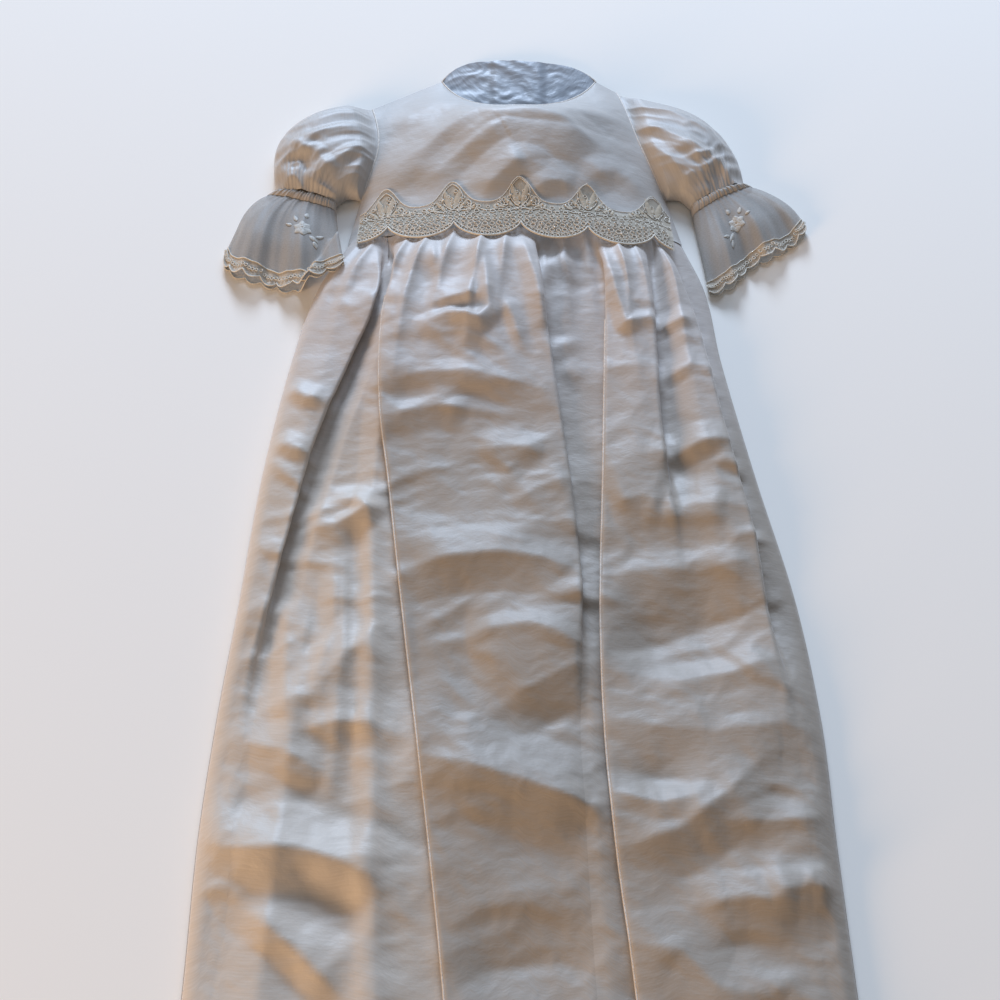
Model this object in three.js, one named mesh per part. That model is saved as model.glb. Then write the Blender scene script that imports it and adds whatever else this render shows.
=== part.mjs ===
import * as THREE from 'three';

// Christening gown of crisp silk, lying on its back with its front up.
// Units are millimetres: +X is the right side as seen from above, +Y runs to the neck and +Z is up.
// Until the last lines the origin is the middle of the waist seam, on the surface that the gown lies on.

// Driving sizes
const wall = 1.2;
const seamGap = 0.3;
const skirtLength = 700;
const foldRadius = 1.3;
const edgeRound = 10;
const waistHeight = 22;
const waistSideHeight = 7;
const skirtHeight = 10;
const skirtBulge = 1.5;
const waistFade = 130;
const lapWidth = 16;
const laceBandTop = 24;
const lacePeak = 20;
const lacePeakX = -96;
const lacePeakRepeat = 49.8;
const lacePeakWidth = 8.5;
const laceNotchX = -93;
const laceRepeat = 48.6;
const laceScallop = 14;
const laceReach = 116;
const cuffLaceShare = 0.86;
const cuffScallops = 8;
const sleeveGathers = 8;

const halfWall = wall / 2;
const layerStep = wall + seamGap;

// Outline of the skirt: distance below the waist, and the two side edges
const skirtOutline = [
  { down: 0, left: -124, right: 124 },
  { down: 42, left: -144, right: 138 },
  { down: 103, left: -158, right: 145 },
  { down: 202, left: -172, right: 162 },
  { down: 291, left: -179, right: 179 },
  { down: 373, left: -186, right: 187 },
  { down: 449, left: -190, right: 188 },
  { down: 539, left: -190, right: 190 },
  { down: 700, left: -194, right: 195 },
];

// Long folds of the front skirt, from left to right. The cloth on the side named by over lies on top.
// turn runs from 0, a flat cloth, to 1, a cloth folded back under itself, and lap is how far it goes under.
const folds = [
  { name: 'left side pleat', over: 'left', rows: [
    { down: 0, x: -103, turn: 0.3, lap: 0.5 },
    { down: 28, x: -98, turn: 0.7, lap: 1 },
    { down: 50, x: -97, turn: 0.9, lap: 3 },
    { down: 78, x: -102, turn: 1, lap: 5 },
    { down: 107, x: -113, turn: 1, lap: 8 },
    { down: 177, x: -135, turn: 1, lap: 11 },
    { down: 243, x: -148, turn: 1, lap: 11 },
    { down: 303, x: -159, turn: 0.8, lap: 4 },
    { down: 345, x: -167, turn: 0.3, lap: 0.5 },
    { down: 400, x: -170, turn: 0, lap: 0.5 },
    { down: 700, x: -172, turn: 0, lap: 0.5 },
  ] },
  { name: 'left edge of the centre panel', over: 'right', rows: [
    { down: 0, x: -84, turn: 0.3, lap: 0.5 },
    { down: 40, x: -88, turn: 0.9, lap: 3 },
    { down: 83, x: -94, turn: 1, lap: 8 },
    { down: 148, x: -93, turn: 1, lap: 12 },
    { down: 208, x: -85, turn: 1, lap: 14 },
    { down: 316, x: -71, turn: 1, lap: 16 },
    { down: 450, x: -53, turn: 1, lap: 18 },
    { down: 542, x: -42, turn: 1, lap: 18 },
    { down: 700, x: -28, turn: 1, lap: 18 },
  ] },
  { name: 'right edge of the centre panel', over: 'left', rows: [
    { down: 0, x: 7, turn: 0.3, lap: 0.5 },
    { down: 30, x: 16, turn: 0.9, lap: 3 },
    { down: 94, x: 23, turn: 1, lap: 6 },
    { down: 152, x: 30, turn: 1, lap: 7 },
    { down: 220, x: 37, turn: 1, lap: 6 },
    { down: 292, x: 41, turn: 0.8, lap: 3 },
    { down: 345, x: 36, turn: 0.2, lap: 0.5 },
    { down: 400, x: 34, turn: 0, lap: 0.5 },
    { down: 700, x: 46, turn: 0, lap: 0.5 },
  ] },
  { name: 'left edge of the right panel', over: 'right', rows: [
    { down: 0, x: 62, turn: 0.2, lap: 0.5 },
    { down: 40, x: 64, turn: 0.7, lap: 2 },
    { down: 78, x: 63, turn: 1, lap: 5 },
    { down: 210, x: 57, turn: 1, lap: 8 },
    { down: 316, x: 52, turn: 1, lap: 9 },
    { down: 424, x: 54, turn: 1, lap: 9 },
    { down: 542, x: 65, turn: 1, lap: 9 },
    { down: 700, x: 78, turn: 1, lap: 9 },
  ] },
  { name: 'short fold of the right panel', over: 'left', rows: [
    { down: 0, x: 90, turn: 0.3, lap: 0.5 },
    { down: 61, x: 97, turn: 0.7, lap: 2 },
    { down: 157, x: 98, turn: 0.7, lap: 2 },
    { down: 222, x: 100, turn: 0.3, lap: 0.5 },
    { down: 280, x: 104, turn: 0, lap: 0.5 },
    { down: 700, x: 122, turn: 0, lap: 0.5 },
  ] },
  { name: 'right side pleat', over: 'left', rows: [
    { down: 0, x: 103, turn: 0.1, lap: 0.5 },
    { down: 40, x: 118, turn: 0.5, lap: 1 },
    { down: 83, x: 129, turn: 0.7, lap: 3 },
    { down: 168, x: 142, turn: 0.8, lap: 4 },
    { down: 245, x: 154, turn: 0.8, lap: 4 },
    { down: 298, x: 158, turn: 0.7, lap: 3 },
    { down: 357, x: 163, turn: 0.2, lap: 0.5 },
    { down: 400, x: 164, turn: 0, lap: 0.5 },
    { down: 700, x: 168, turn: 0, lap: 0.5 },
  ] },
];

// Gathers under the waist seam: place on the seam, height and how far down each one runs
const gathers = [
  { x: -112, height: 2.4, run: 60 },
  { x: -101, height: 2.8, run: 80 },
  { x: -76, height: 3.4, run: 60 },
  { x: -62, height: 3.6, run: 95 },
  { x: -44, height: 3.0, run: 70 },
  { x: -23, height: 3.6, run: 90 },
  { x: -6, height: 2.8, run: 60 },
  { x: 20, height: 2.6, run: 75 },
  { x: 34, height: 3.2, run: 90 },
  { x: 50, height: 2.6, run: 60 },
  { x: 72, height: 3.4, run: 85 },
  { x: 84, height: 2.6, run: 60 },
  { x: 103, height: 2.8, run: 80 },
];
const gatherWidth = 5.5;
const gatherSpread = 140;

// Broad soft forms of the front skirt: from one end to the other, half width across, and height
const swells = [
  { name: 'upper part of the centre panel', from: [-60, 90], to: [0, 70], width: 34, height: 3 },
  { name: 'ridge across the centre panel', from: [-66, 252], to: [30, 240], width: 15, height: 6 },
  { name: 'mound below that ridge', from: [-12, 300], to: [28, 292], width: 20, height: 5 },
  { name: 'slanting ridge of the centre panel', from: [-50, 378], to: [34, 424], width: 20, height: 6 },
  { name: 'low mound of the centre panel', from: [-20, 500], to: [20, 520], width: 30, height: 4 },
  { name: 'ridge across the left side', from: [-170, 446], to: [-100, 470], width: 16, height: 5 },
  { name: 'upright ridge of the left side', from: [-96, 230], to: [-84, 640], width: 9, height: 3 },
  { name: 'ridge across the right panel', from: [78, 316], to: [146, 290], width: 16, height: 5 },
  { name: 'slanting mound of the right panel', from: [80, 452], to: [120, 408], width: 20, height: 5 },
  { name: 'upper left side', from: [-136, 120], to: [-150, 200], width: 14, height: 3 },
  { name: 'hem of the right panel', from: [110, 590], to: [150, 650], width: 34, height: 4 },
  { name: 'hem of the left side', from: [-130, 560], to: [-120, 690], width: 20, height: 4 },
];

// Outline points of the bodice
const waistLeft = { x: -124, y: seamGap / 2 };
const waistRight = { x: 124, y: seamGap / 2 };
const armholeLeft = [
  { x: -116, y: 44 },
  { x: -108, y: 68 },
  { x: -104, y: 86 },
  { x: -105, y: 108 },
  { x: -111, y: 138 },
];
const armholeRight = [
  { x: 114, y: 44 },
  { x: 103, y: 71 },
  { x: 94, y: 97 },
  { x: 87, y: 128 },
  { x: 81, y: 156 },
];
const neckLeft = { x: -57, y: 168 };
const neckRight = { x: 65, y: 168 };
const neckFrontY = 117;
const neckFrontX = 0;
const neckFrontHeight = 27;
const neckBackRise = 20;

// Outlines of the puffed sleeves and of their ruffles, seen from above
const sleeves = [
  {
    side: 'left',
    armhole: armholeLeft,
    out: -1,
    onSkirt: true,
    puffHeight: 27,
    bandHeight: 12,
    ruffleHeight: 15,
    bandInner: [-134, 38], bandOuter: [-180, 49],
    puffOuter: [[-132, 136], [-151, 129], [-166, 118], [-177, 104], [-183, 88], [-183, 68]],
    puffInner: [[-126, 45]],
    ruffleOuter: [[-193, 42], [-202, 29], [-208, 10]],
    ruffleInner: [[-133, 24], [-129, 0]],
    ruffleEdge: [
      [-123, -32], [-143, -41], [-156, -42], [-171, -41],
      [-184, -36], [-198, -31], [-210, -24], [-215, -12],
    ],
    waves: 2.5,
    waveStart: 0.15,
  },
  {
    side: 'right',
    armhole: armholeRight,
    out: 1,
    onSkirt: false,
    puffHeight: 25,
    bandHeight: 12,
    ruffleHeight: 14,
    bandInner: [132, 35], bandOuter: [174, 56],
    puffOuter: [[98, 144], [124, 134], [142, 123], [159, 104], [170, 80]],
    puffInner: [[124, 44]],
    ruffleOuter: [[186, 52], [199, 43], [210, 31]],
    ruffleInner: [[135, 6], [138, -20]],
    ruffleEdge: [
      [141, -46], [152, -42], [162, -34], [172, -22],
      [185, -14], [198, -6], [210, 4], [218, 16],
    ],
    waves: 2.5,
    waveStart: 0.55,
  },
];

// Finishes
const silk = { color: 0xcfc6bd, roughness: 0.45, metalness: 0 };
const organza = { color: 0xbdb8b0, roughness: 0.6, metalness: 0 };
const lace = { color: 0xc9bba6, roughness: 0.7, metalness: 0 };
const satin = { color: 0xaab4c4, roughness: 0.3, metalness: 0 };

const gown = new THREE.Group();

// A smooth curve through one column of a table, read at a value of its key column
function column(rows, key, name, value) {
  const last = rows.length - 1;
  let i = 0;
  while (i < last - 1 && value > rows[i + 1][key]) i += 1;
  const slope = (k) => {
    const a = rows[Math.max(k - 1, 0)];
    const b = rows[Math.min(k + 1, last)];
    return (b[name] - a[name]) / (b[key] - a[key]);
  };
  const span = rows[i + 1][key] - rows[i][key];
  const t = THREE.MathUtils.clamp((value - rows[i][key]) / span, 0, 1);
  const t2 = t * t;
  const t3 = t2 * t;
  return (2 * t3 - 3 * t2 + 1) * rows[i][name]
    + (t3 - 2 * t2 + t) * span * slope(i)
    + (3 * t2 - 2 * t3) * rows[i + 1][name]
    + (t3 - t2) * span * slope(i + 1);
}

function smooth(from, to, value) {
  return THREE.MathUtils.smoothstep(value, from, to);
}

// An arch from 0 at both ends to 1 in the middle
function arch(t) {
  return Math.max(0, Math.sin(Math.PI * t));
}

// A closed solid between two grids of points, an open sheet or a tube whose columns close on themselves
function solidBetween(faceA, faceB, isTube) {
  const rows = faceA.length;
  const cols = faceA[0].length;
  const positions = [];
  for (const face of [faceA, faceB]) {
    for (const row of face) {
      for (const p of row) positions.push(p.x, p.y, p.z);
    }
  }
  const at = (side, r, c) => (side * rows + r) * cols + (c % cols);
  const index = [];
  const quad = (a, b, c, d) => index.push(a, b, c, a, c, d);
  const spans = isTube ? cols : cols - 1;
  for (let c = 0; c < spans; c += 1) {
    for (let r = 0; r < rows - 1; r += 1) {
      quad(at(0, r, c), at(0, r, c + 1), at(0, r + 1, c + 1), at(0, r + 1, c));
      quad(at(1, r, c), at(1, r + 1, c), at(1, r + 1, c + 1), at(1, r, c + 1));
    }
    quad(at(0, 0, c), at(1, 0, c), at(1, 0, c + 1), at(0, 0, c + 1));
    quad(at(0, rows - 1, c), at(0, rows - 1, c + 1), at(1, rows - 1, c + 1), at(1, rows - 1, c));
  }
  if (!isTube) {
    for (let r = 0; r < rows - 1; r += 1) {
      quad(at(0, r, 0), at(0, r + 1, 0), at(1, r + 1, 0), at(1, r, 0));
      quad(at(0, r, cols - 1), at(1, r, cols - 1), at(1, r + 1, cols - 1), at(0, r + 1, cols - 1));
    }
  }
  const geometry = new THREE.BufferGeometry();
  geometry.setAttribute('position', new THREE.Float32BufferAttribute(positions, 3));
  geometry.setIndex(facingOut(positions, index));
  geometry.computeVertexNormals();
  return geometry;
}

// Turns the triangles round where the solid's signed volume says that they face inwards
function facingOut(positions, index) {
  const a = new THREE.Vector3();
  const b = new THREE.Vector3();
  const c = new THREE.Vector3();
  let volume = 0;
  for (let i = 0; i < index.length; i += 3) {
    a.fromArray(positions, 3 * index[i]);
    b.fromArray(positions, 3 * index[i + 1]);
    c.fromArray(positions, 3 * index[i + 2]);
    volume += a.dot(b.cross(c));
  }
  if (volume >= 0) return index;
  return index.slice().reverse();
}

// The directions across a grid of points. At an edge they stand in the upright plane of that edge,
// so that two pieces with the same edge curve keep their gap.
function across(grid, isTube) {
  const rows = grid.length;
  const cols = grid[0].length;
  return grid.map((row, r) => row.map((point, c) => {
    const before = isTube ? (c + cols - 1) % cols : Math.max(c - 1, 0);
    const after = isTube ? (c + 1) % cols : Math.min(c + 1, cols - 1);
    const alongRow = row[after].clone().sub(row[before]);
    const alongColumn = grid[Math.min(r + 1, rows - 1)][c].clone().sub(grid[Math.max(r - 1, 0)][c]);
    const normal = alongRow.clone().cross(alongColumn).normalize();
    if (r === 0 || r === rows - 1) standUpright(normal, point, row[after], row[before]);
    if (!isTube && (c === 0 || c === cols - 1)) {
      standUpright(normal, point, grid[Math.min(r + 1, rows - 1)][c], grid[Math.max(r - 1, 0)][c]);
    }
    return normal.normalize();
  }));
}

function standUpright(normal, point, next, previous) {
  const forward = new THREE.Vector3(next.x - point.x, next.y - point.y, 0);
  const backward = new THREE.Vector3(point.x - previous.x, point.y - previous.y, 0);
  if (forward.dot(backward) > 0 || forward.length() === 0) forward.add(backward);
  forward.normalize();
  const sideways = new THREE.Vector3(-forward.y, forward.x, 0);
  normal.addScaledVector(sideways, -normal.dot(sideways));
}

function moved(grid, normals, distance) {
  return grid.map((row, r) => row.map((p, c) => {
    const step = typeof distance === 'function' ? distance(r, c) : distance;
    return p.clone().addScaledVector(normals[r][c], step);
  }));
}

function addPiece(name, geometry, finish) {
  const material = new THREE.MeshStandardMaterial({ ...finish, side: THREE.DoubleSide });
  const mesh = new THREE.Mesh(geometry, material);
  mesh.name = name;
  gown.add(mesh);
}

function addCloth(name, grid, finish, isTube = false) {
  const normals = across(grid, isTube);
  const outer = moved(grid, normals, halfWall);
  const inner = moved(grid, normals, -halfWall);
  addPiece(name, solidBetween(outer, inner, isTube), finish);
}

function planCurve(points) {
  return new THREE.SplineCurve(points.map((p) => (Array.isArray(p)
    ? new THREE.Vector2(p[0], p[1]) : new THREE.Vector2(p.x, p.y))));
}

// Four edge curves filled by one smooth patch. a runs along bottom and top, b along left and right.
function patch(bottom, top, left, right) {
  const corner = [bottom(0), bottom(1), top(0), top(1)];
  return (a, b) => {
    const point = bottom(a).clone().multiplyScalar(1 - b).addScaledVector(top(a), b);
    point.addScaledVector(left(b), 1 - a).addScaledVector(right(b), a);
    point.addScaledVector(corner[0], -(1 - a) * (1 - b)).addScaledVector(corner[1], -a * (1 - b));
    point.addScaledVector(corner[2], -(1 - a) * b).addScaledVector(corner[3], -a * b);
    return point;
  };
}

// Height of the middle of the front skirt's cloth, without its long folds
function edges(down) {
  return {
    left: column(skirtOutline, 'down', 'left', down),
    right: column(skirtOutline, 'down', 'right', down),
  };
}

function gatherHeight(x, down) {
  const edge = edges(down);
  let height = 0;
  for (const gather of gathers) {
    const share = (gather.x - waistLeft.x) / (waistRight.x - waistLeft.x);
    const middle = edge.left + share * (edge.right - edge.left);
    const width = gatherWidth * (1 + down / gatherSpread);
    const fade = Math.exp(-((down / gather.run) ** 2));
    height += gather.height * fade * Math.exp(-(((x - middle) / width) ** 2));
  }
  return height * gathersOpen(down);
}

// The stitches of the waist seam hold gathers and folds flat; they open below it
function gathersOpen(down) {
  return 0.3 + 0.7 * smooth(0, 34, down);
}

function swellHeight(x, down) {
  let height = 0;
  const point = new THREE.Vector3(x, down, 0);
  for (const swell of swells) {
    const from = new THREE.Vector3(...swell.from, 0);
    const to = new THREE.Vector3(...swell.to, 0);
    const nearest = new THREE.Line3(from, to).closestPointToPoint(point, true, new THREE.Vector3());
    const away = nearest.distanceTo(point) / swell.width;
    height += swell.height * Math.exp(-away * away);
  }
  return height;
}

function crown(x, down) {
  const edge = edges(down);
  const u = (2 * x - edge.left - edge.right) / (edge.right - edge.left);
  const base = THREE.MathUtils.lerp(waistSideHeight, skirtHeight, smooth(0, 160, down));
  const lift = (waistHeight - waistSideHeight) * Math.exp(-((down / waistFade) ** 2)) + skirtBulge;
  return base + lift * Math.max(0, 1 - u * u);
}

function skirtMiddle(x, down) {
  return crown(x, down) + gatherHeight(x, down) + swellHeight(x, down);
}

// The same height let down to the side edges, as on the bodice
function roundedCrown(x, down) {
  const edge = edges(down);
  const inside = Math.min(x - edge.left, edge.right - x);
  const t = THREE.MathUtils.clamp(inside / edgeRound, 0, 1);
  return layerStep + (crown(x, down) - layerStep) * Math.sqrt(1 - (1 - t) ** 2);
}

// One long fold across a section: over the edge, back under it and out again, going left to right
const turnSteps = 3;
function foldPath(fold, down) {
  const x = column(fold.rows, 'down', 'x', down);
  const turnShare = column(fold.rows, 'down', 'turn', down) * gathersOpen(down);
  const turn = Math.PI * THREE.MathUtils.clamp(turnShare, 0.02, 1);
  const lap = Math.max(0.5, column(fold.rows, 'down', 'lap', down));
  const arc = Math.PI * foldRadius;
  const chord = 2 * (arc / turn) * Math.sin(turn / (2 * turnSteps));
  const path = [{ x: 0, z: 0 }];
  const go = (heading, length) => {
    const from = path[path.length - 1];
    path.push({ x: from.x + length * Math.cos(heading), z: from.z - length * Math.sin(heading) });
  };
  for (let k = 0; k < turnSteps; k += 1) go(turn * (k + 0.5) / turnSteps, chord);
  go(turn, lap);
  for (let k = 0; k < turnSteps; k += 1) go(turn * (1 - (k + 0.5) / turnSteps), chord);
  const halfDrop = -path[path.length - 1].z / 2;
  const sign = fold.over === 'left' ? 1 : -1;
  const points = path.map((p) => {
    const px = x + sign * (p.x - foldRadius);
    return { x: px, z: skirtMiddle(px, down) + halfDrop + p.z };
  });
  return sign > 0 ? points : points.reverse();
}

// Whole section of the front skirt at one distance below the waist
const edgeSteps = 4;
const panelSteps = [4, 4, 14, 4, 5, 4, 3];
function skirtSection(down) {
  const edge = edges(down);
  const levelOf = (p) => p.z - skirtMiddle(p.x, down);
  const roundEdge = (sideX, inward, level) => {
    const innerX = sideX + inward * (halfWall + edgeRound);
    const top = skirtMiddle(innerX, down) + level;
    const points = [];
    for (let k = 0; k <= edgeSteps; k += 1) {
      const angle = (Math.PI / 2) * (k / edgeSteps);
      points.push({
        x: sideX + inward * (halfWall + edgeRound * (1 - Math.cos(angle))),
        z: layerStep + (top - layerStep) * Math.sin(angle),
      });
    }
    return points;
  };
  const paths = folds.map((fold) => foldPath(fold, down));
  const lastPath = paths[paths.length - 1];
  const leftEdge = roundEdge(edge.left, 1, levelOf(paths[0][0]));
  const rightEdge = roundEdge(edge.right, -1, levelOf(lastPath[lastPath.length - 1])).reverse();
  const parts = [leftEdge, ...paths, rightEdge];
  const section = [...parts[0]];
  for (let i = 1; i < parts.length; i += 1) {
    const from = section[section.length - 1];
    const to = parts[i][0];
    const steps = panelSteps[i - 1];
    for (let k = 1; k <= steps; k += 1) {
      const t = k / (steps + 1);
      const x = THREE.MathUtils.lerp(from.x, to.x, t);
      const level = THREE.MathUtils.lerp(levelOf(from), levelOf(to), smooth(0, 0.7, t));
      section.push({ x, z: skirtMiddle(x, down) + level });
    }
    section.push(...parts[i]);
  }
  return section;
}

// The two faces of a section's wall, found inside its own upright plane
function sectionFaces(section, down) {
  const faces = [[], []];
  section.forEach((p, i) => {
    const before = section[Math.max(i - 1, 0)];
    const after = section[Math.min(i + 1, section.length - 1)];
    let from = new THREE.Vector2(p.x - before.x, p.z - before.z).normalize();
    let to = new THREE.Vector2(after.x - p.x, after.z - p.z).normalize();
    if (i === 0) {
      from = new THREE.Vector2(0, 1);
      to = from;
    }
    if (i === section.length - 1) {
      from = new THREE.Vector2(0, -1);
      to = from;
    }
    const tangent = from.clone().add(to).normalize();
    const miter = Math.min(1.4, 1 / Math.max(0.5, tangent.dot(from)));
    const reach = halfWall * miter;
    faces[0].push(new THREE.Vector3(p.x - tangent.y * reach, -down, p.z + tangent.x * reach));
    faces[1].push(new THREE.Vector3(p.x + tangent.y * reach, -down, p.z - tangent.x * reach));
  });
  return faces;
}

// Distances below the waist at which the skirt's sections are built
const skirtStations = [
  seamGap / 2, 12, 28, 50, 78, 112, 150, 190, 232, 274, 318, 364, 412, 464, 520, 580, 640, skirtLength,
];

function addSkirt() {
  const sections = skirtStations.map((down) => sectionFaces(skirtSection(down), down));
  const outer = sections.map((faces) => faces[0]);
  const inner = sections.map((faces) => faces[1]);
  addPiece('skirt_front', solidBetween(outer, inner, false), silk);

  const backSteps = 4;
  const top = [];
  const bottom = [];
  for (const down of skirtStations) {
    const edge = edges(down);
    const row = [];
    for (let k = 0; k <= backSteps; k += 1) {
      row.push(new THREE.Vector3(THREE.MathUtils.lerp(edge.left, edge.right, k / backSteps), -down, 0));
    }
    bottom.push(row);
    top.push(row.map((p) => new THREE.Vector3(p.x, p.y, wall)));
  }
  addPiece('skirt_back', solidBetween(top, bottom, false), silk);
}

// Bodice: a runs from the left side to the right, b from the waist up to the shoulders and the neck
const armpitShare = 0.28;
const neckFrom = 0.25;
const neckTo = 0.79;
const armholeLift = 11;

function sideCurve(waist, armhole) {
  const curve = planCurve(armhole);
  return (b) => {
    if (b < armpitShare) {
      const t = b / armpitShare;
      return new THREE.Vector3(
        THREE.MathUtils.lerp(waist.x, armhole[0].x, t),
        THREE.MathUtils.lerp(waist.y, armhole[0].y, t),
        layerStep + halfWall,
      );
    }
    const t = (b - armpitShare) / (1 - armpitShare);
    const p = curve.getPointAt(t);
    return new THREE.Vector3(p.x, p.y, layerStep + halfWall + armholeRise(t));
  };
}

function armholeRise(t) {
  return armholeLift * arch(t) ** 0.8;
}

function neckShare(x) {
  return Math.abs((x - neckFrontX) / ((x < neckFrontX ? neckLeft.x : neckRight.x) - neckFrontX));
}

function frontNeckPoint(t) {
  const x = THREE.MathUtils.lerp(neckLeft.x, neckRight.x, t);
  const share = Math.min(1, neckShare(x));
  const cornerY = x < neckFrontX ? neckLeft.y : neckRight.y;
  return new THREE.Vector3(
    x,
    neckFrontY + (cornerY - neckFrontY) * share ** 2.4,
    layerStep + halfWall + (neckFrontHeight - layerStep) * (1 - share ** 2.2),
  );
}

function frontTop(a) {
  const tipLeft = armholeLeft[armholeLeft.length - 1];
  const tipRight = armholeRight[armholeRight.length - 1];
  const seat = layerStep + halfWall;
  if (a < neckFrom) {
    const t = a / neckFrom;
    return new THREE.Vector3(
      THREE.MathUtils.lerp(tipLeft.x, neckLeft.x, t),
      THREE.MathUtils.lerp(tipLeft.y, neckLeft.y, t),
      seat,
    );
  }
  if (a > neckTo) {
    const t = (a - neckTo) / (1 - neckTo);
    return new THREE.Vector3(
      THREE.MathUtils.lerp(neckRight.x, tipRight.x, t),
      THREE.MathUtils.lerp(neckRight.y, tipRight.y, t),
      seat,
    );
  }
  return frontNeckPoint((a - neckFrom) / (neckTo - neckFrom));
}

function frontWaist(a) {
  const x = THREE.MathUtils.lerp(waistLeft.x, waistRight.x, a);
  return new THREE.Vector3(x, waistLeft.y, Math.max(layerStep + halfWall, roundedCrown(x, 0)));
}

const leftSide = sideCurve(waistLeft, armholeLeft);
const rightSide = sideCurve(waistRight, armholeRight);
const frontPatch = patch(frontWaist, frontTop, leftSide, rightSide);

// Soft arched drapes round the breast, under the lifted neck edge
const drapes = { x: 36, y: 84, flatten: 1.2, spacing: 24, reach: 46, height: 1.8 };
const breastRise = 1.5;
function bodicePoint(a, b) {
  const point = frontPatch(a, b);
  const inside = arch(a) ** 0.7 * arch(b) ** 0.8;
  const away = Math.hypot(point.x - drapes.x, (point.y - drapes.y) * drapes.flatten);
  const fade = Math.exp(-((away / drapes.reach) ** 2));
  const drape = drapes.height * fade * Math.cos((2 * Math.PI * away) / drapes.spacing);
  point.z += inside * (breastRise + drape);
  return point;
}

function addBodice() {
  const acrossSteps = 22;
  const shares = Array.from({ length: acrossSteps + 1 }, (_, k) => k / acrossSteps);
  for (const corner of [neckFrom, neckTo]) {
    shares[Math.round(corner * acrossSteps)] = corner;
  }
  const grid = upSteps.map((b) => shares.map((a) => bodicePoint(a, b)));
  addCloth('bodice_front', grid, silk);
  addBack();
  addLining();
}

function backTop(x) {
  const tipLeft = armholeLeft[armholeLeft.length - 1];
  const tipRight = armholeRight[armholeRight.length - 1];
  if (x < neckLeft.x) {
    return THREE.MathUtils.mapLinear(x, tipLeft.x, neckLeft.x, tipLeft.y, neckLeft.y);
  }
  if (x > neckRight.x) {
    return THREE.MathUtils.mapLinear(x, neckRight.x, tipRight.x, neckRight.y, tipRight.y);
  }
  const t = (x - neckLeft.x) / (neckRight.x - neckLeft.x);
  const rise = neckBackRise * (1 - Math.abs(2 * t - 1) ** 5) * (1.1 - 0.3 * t);
  return THREE.MathUtils.lerp(neckLeft.y, neckRight.y, t) + rise;
}

// The back halves lie flat; the right one laps over the left one at the centre back
const upSteps = [0, 0.09, 0.18, armpitShare, 0.37, 0.46, 0.55, 0.64, 0.73, 0.82, 0.9, 0.95, 1];
const outwardShares = [0.3, 0.55, 0.8, 1];
function addBackHalf(name, innerXs, side, heightAt) {
  const grid = upSteps.map((b) => {
    const outer = side(b);
    const centre = innerXs[innerXs.length - 1];
    const xs = [...innerXs, ...outwardShares.map((share) => THREE.MathUtils.lerp(centre, outer.x, share))];
    return xs.map((x) => {
      const toSide = THREE.MathUtils.clamp((x - centre) / (outer.x - centre), 0, 1);
      const innerY = THREE.MathUtils.lerp(seamGap / 2, backTop(x), b);
      return new THREE.Vector3(x, THREE.MathUtils.lerp(innerY, outer.y, toSide ** 3), heightAt(x));
    });
  });
  const upper = grid.map((row) => row.map((p) => new THREE.Vector3(p.x, p.y, p.z + wall)));
  addPiece(name, solidBetween(upper, grid, false), silk);
}

function addBack() {
  const half = lapWidth / 2;
  const slope = 6;
  addBackHalf('bodice_back_left', [half, -half], leftSide, () => 0);
  const lapped = (x) => (x < half + slope ? layerStep : 0);
  addBackHalf('bodice_back_right', [-half, half + 1, half + slope], rightSide, lapped);
}

// Satin lining of the back, as far as it shows in the neck opening
function addLining() {
  const rows = 5;
  const cols = 14;
  const inset = 3;
  const lap = lapWidth / 2 + 8;
  const grid = [];
  for (let r = 0; r <= rows; r += 1) {
    const row = [];
    for (let c = 0; c <= cols; c += 1) {
      const t = c / cols;
      const x = THREE.MathUtils.lerp(neckLeft.x + 5, neckRight.x - 5, t);
      const low = neckFrontY - 16 + 52 * Math.abs(2 * t - 1) ** 3;
      const high = backTop(x) - inset;
      const y = THREE.MathUtils.lerp(low, high, r / rows);
      const overLap = layerStep * (1 - smooth(lap, lap + 8, Math.abs(x - 3)));
      const crumple = 1 + Math.sin(x * 0.42 + y * 0.17) + 0.7 * Math.sin(x * 0.19 - y * 0.38);
      const rise = Math.sin(Math.PI * t) * (Math.max(0, crumple) + 2 * (r / rows) ** 2);
      row.push(new THREE.Vector3(x, y, layerStep + halfWall + 0.3 + overLap + rise));
    }
    grid.push(row);
  }
  addCloth('lining_back', grid, satin);
}

// Puffed sleeves and ruffles: tubes pressed flat below. w runs from the inner edge to the outer edge.
const edgeLift = 2.2;
const nearEdge = 0.022;
const leastOpening = 4;
function ringShares(topCount, bottomCount) {
  const inner = (k, count) => Math.min(k, count - k) / count > 2 * nearEdge;
  const ring = [{ w: 0, up: true }, { w: nearEdge, up: true }];
  for (let k = 1; k < topCount; k += 1) {
    if (inner(k, topCount)) ring.push({ w: k / topCount, up: true });
  }
  ring.push({ w: 1 - nearEdge, up: true }, { w: 1, up: true }, { w: 1 - nearEdge, up: false });
  for (let k = bottomCount - 1; k > 0; k -= 1) {
    if (inner(k, bottomCount)) ring.push({ w: k / bottomCount, up: false });
  }
  ring.push({ w: nearEdge, up: false });
  return ring;
}

function domeShare(w) {
  return 2 * Math.sqrt(Math.max(0, w * (1 - w)));
}

function tubeHeight(place, top, floorLift) {
  const edgeZ = floorLift + halfWall + edgeLift;
  if (place.w === 0 || place.w === 1) return edgeZ;
  if (place.up) return edgeZ + Math.max(top - edgeZ, leastOpening) * domeShare(place.w) ** 0.7;
  return floorLift + halfWall;
}

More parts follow.
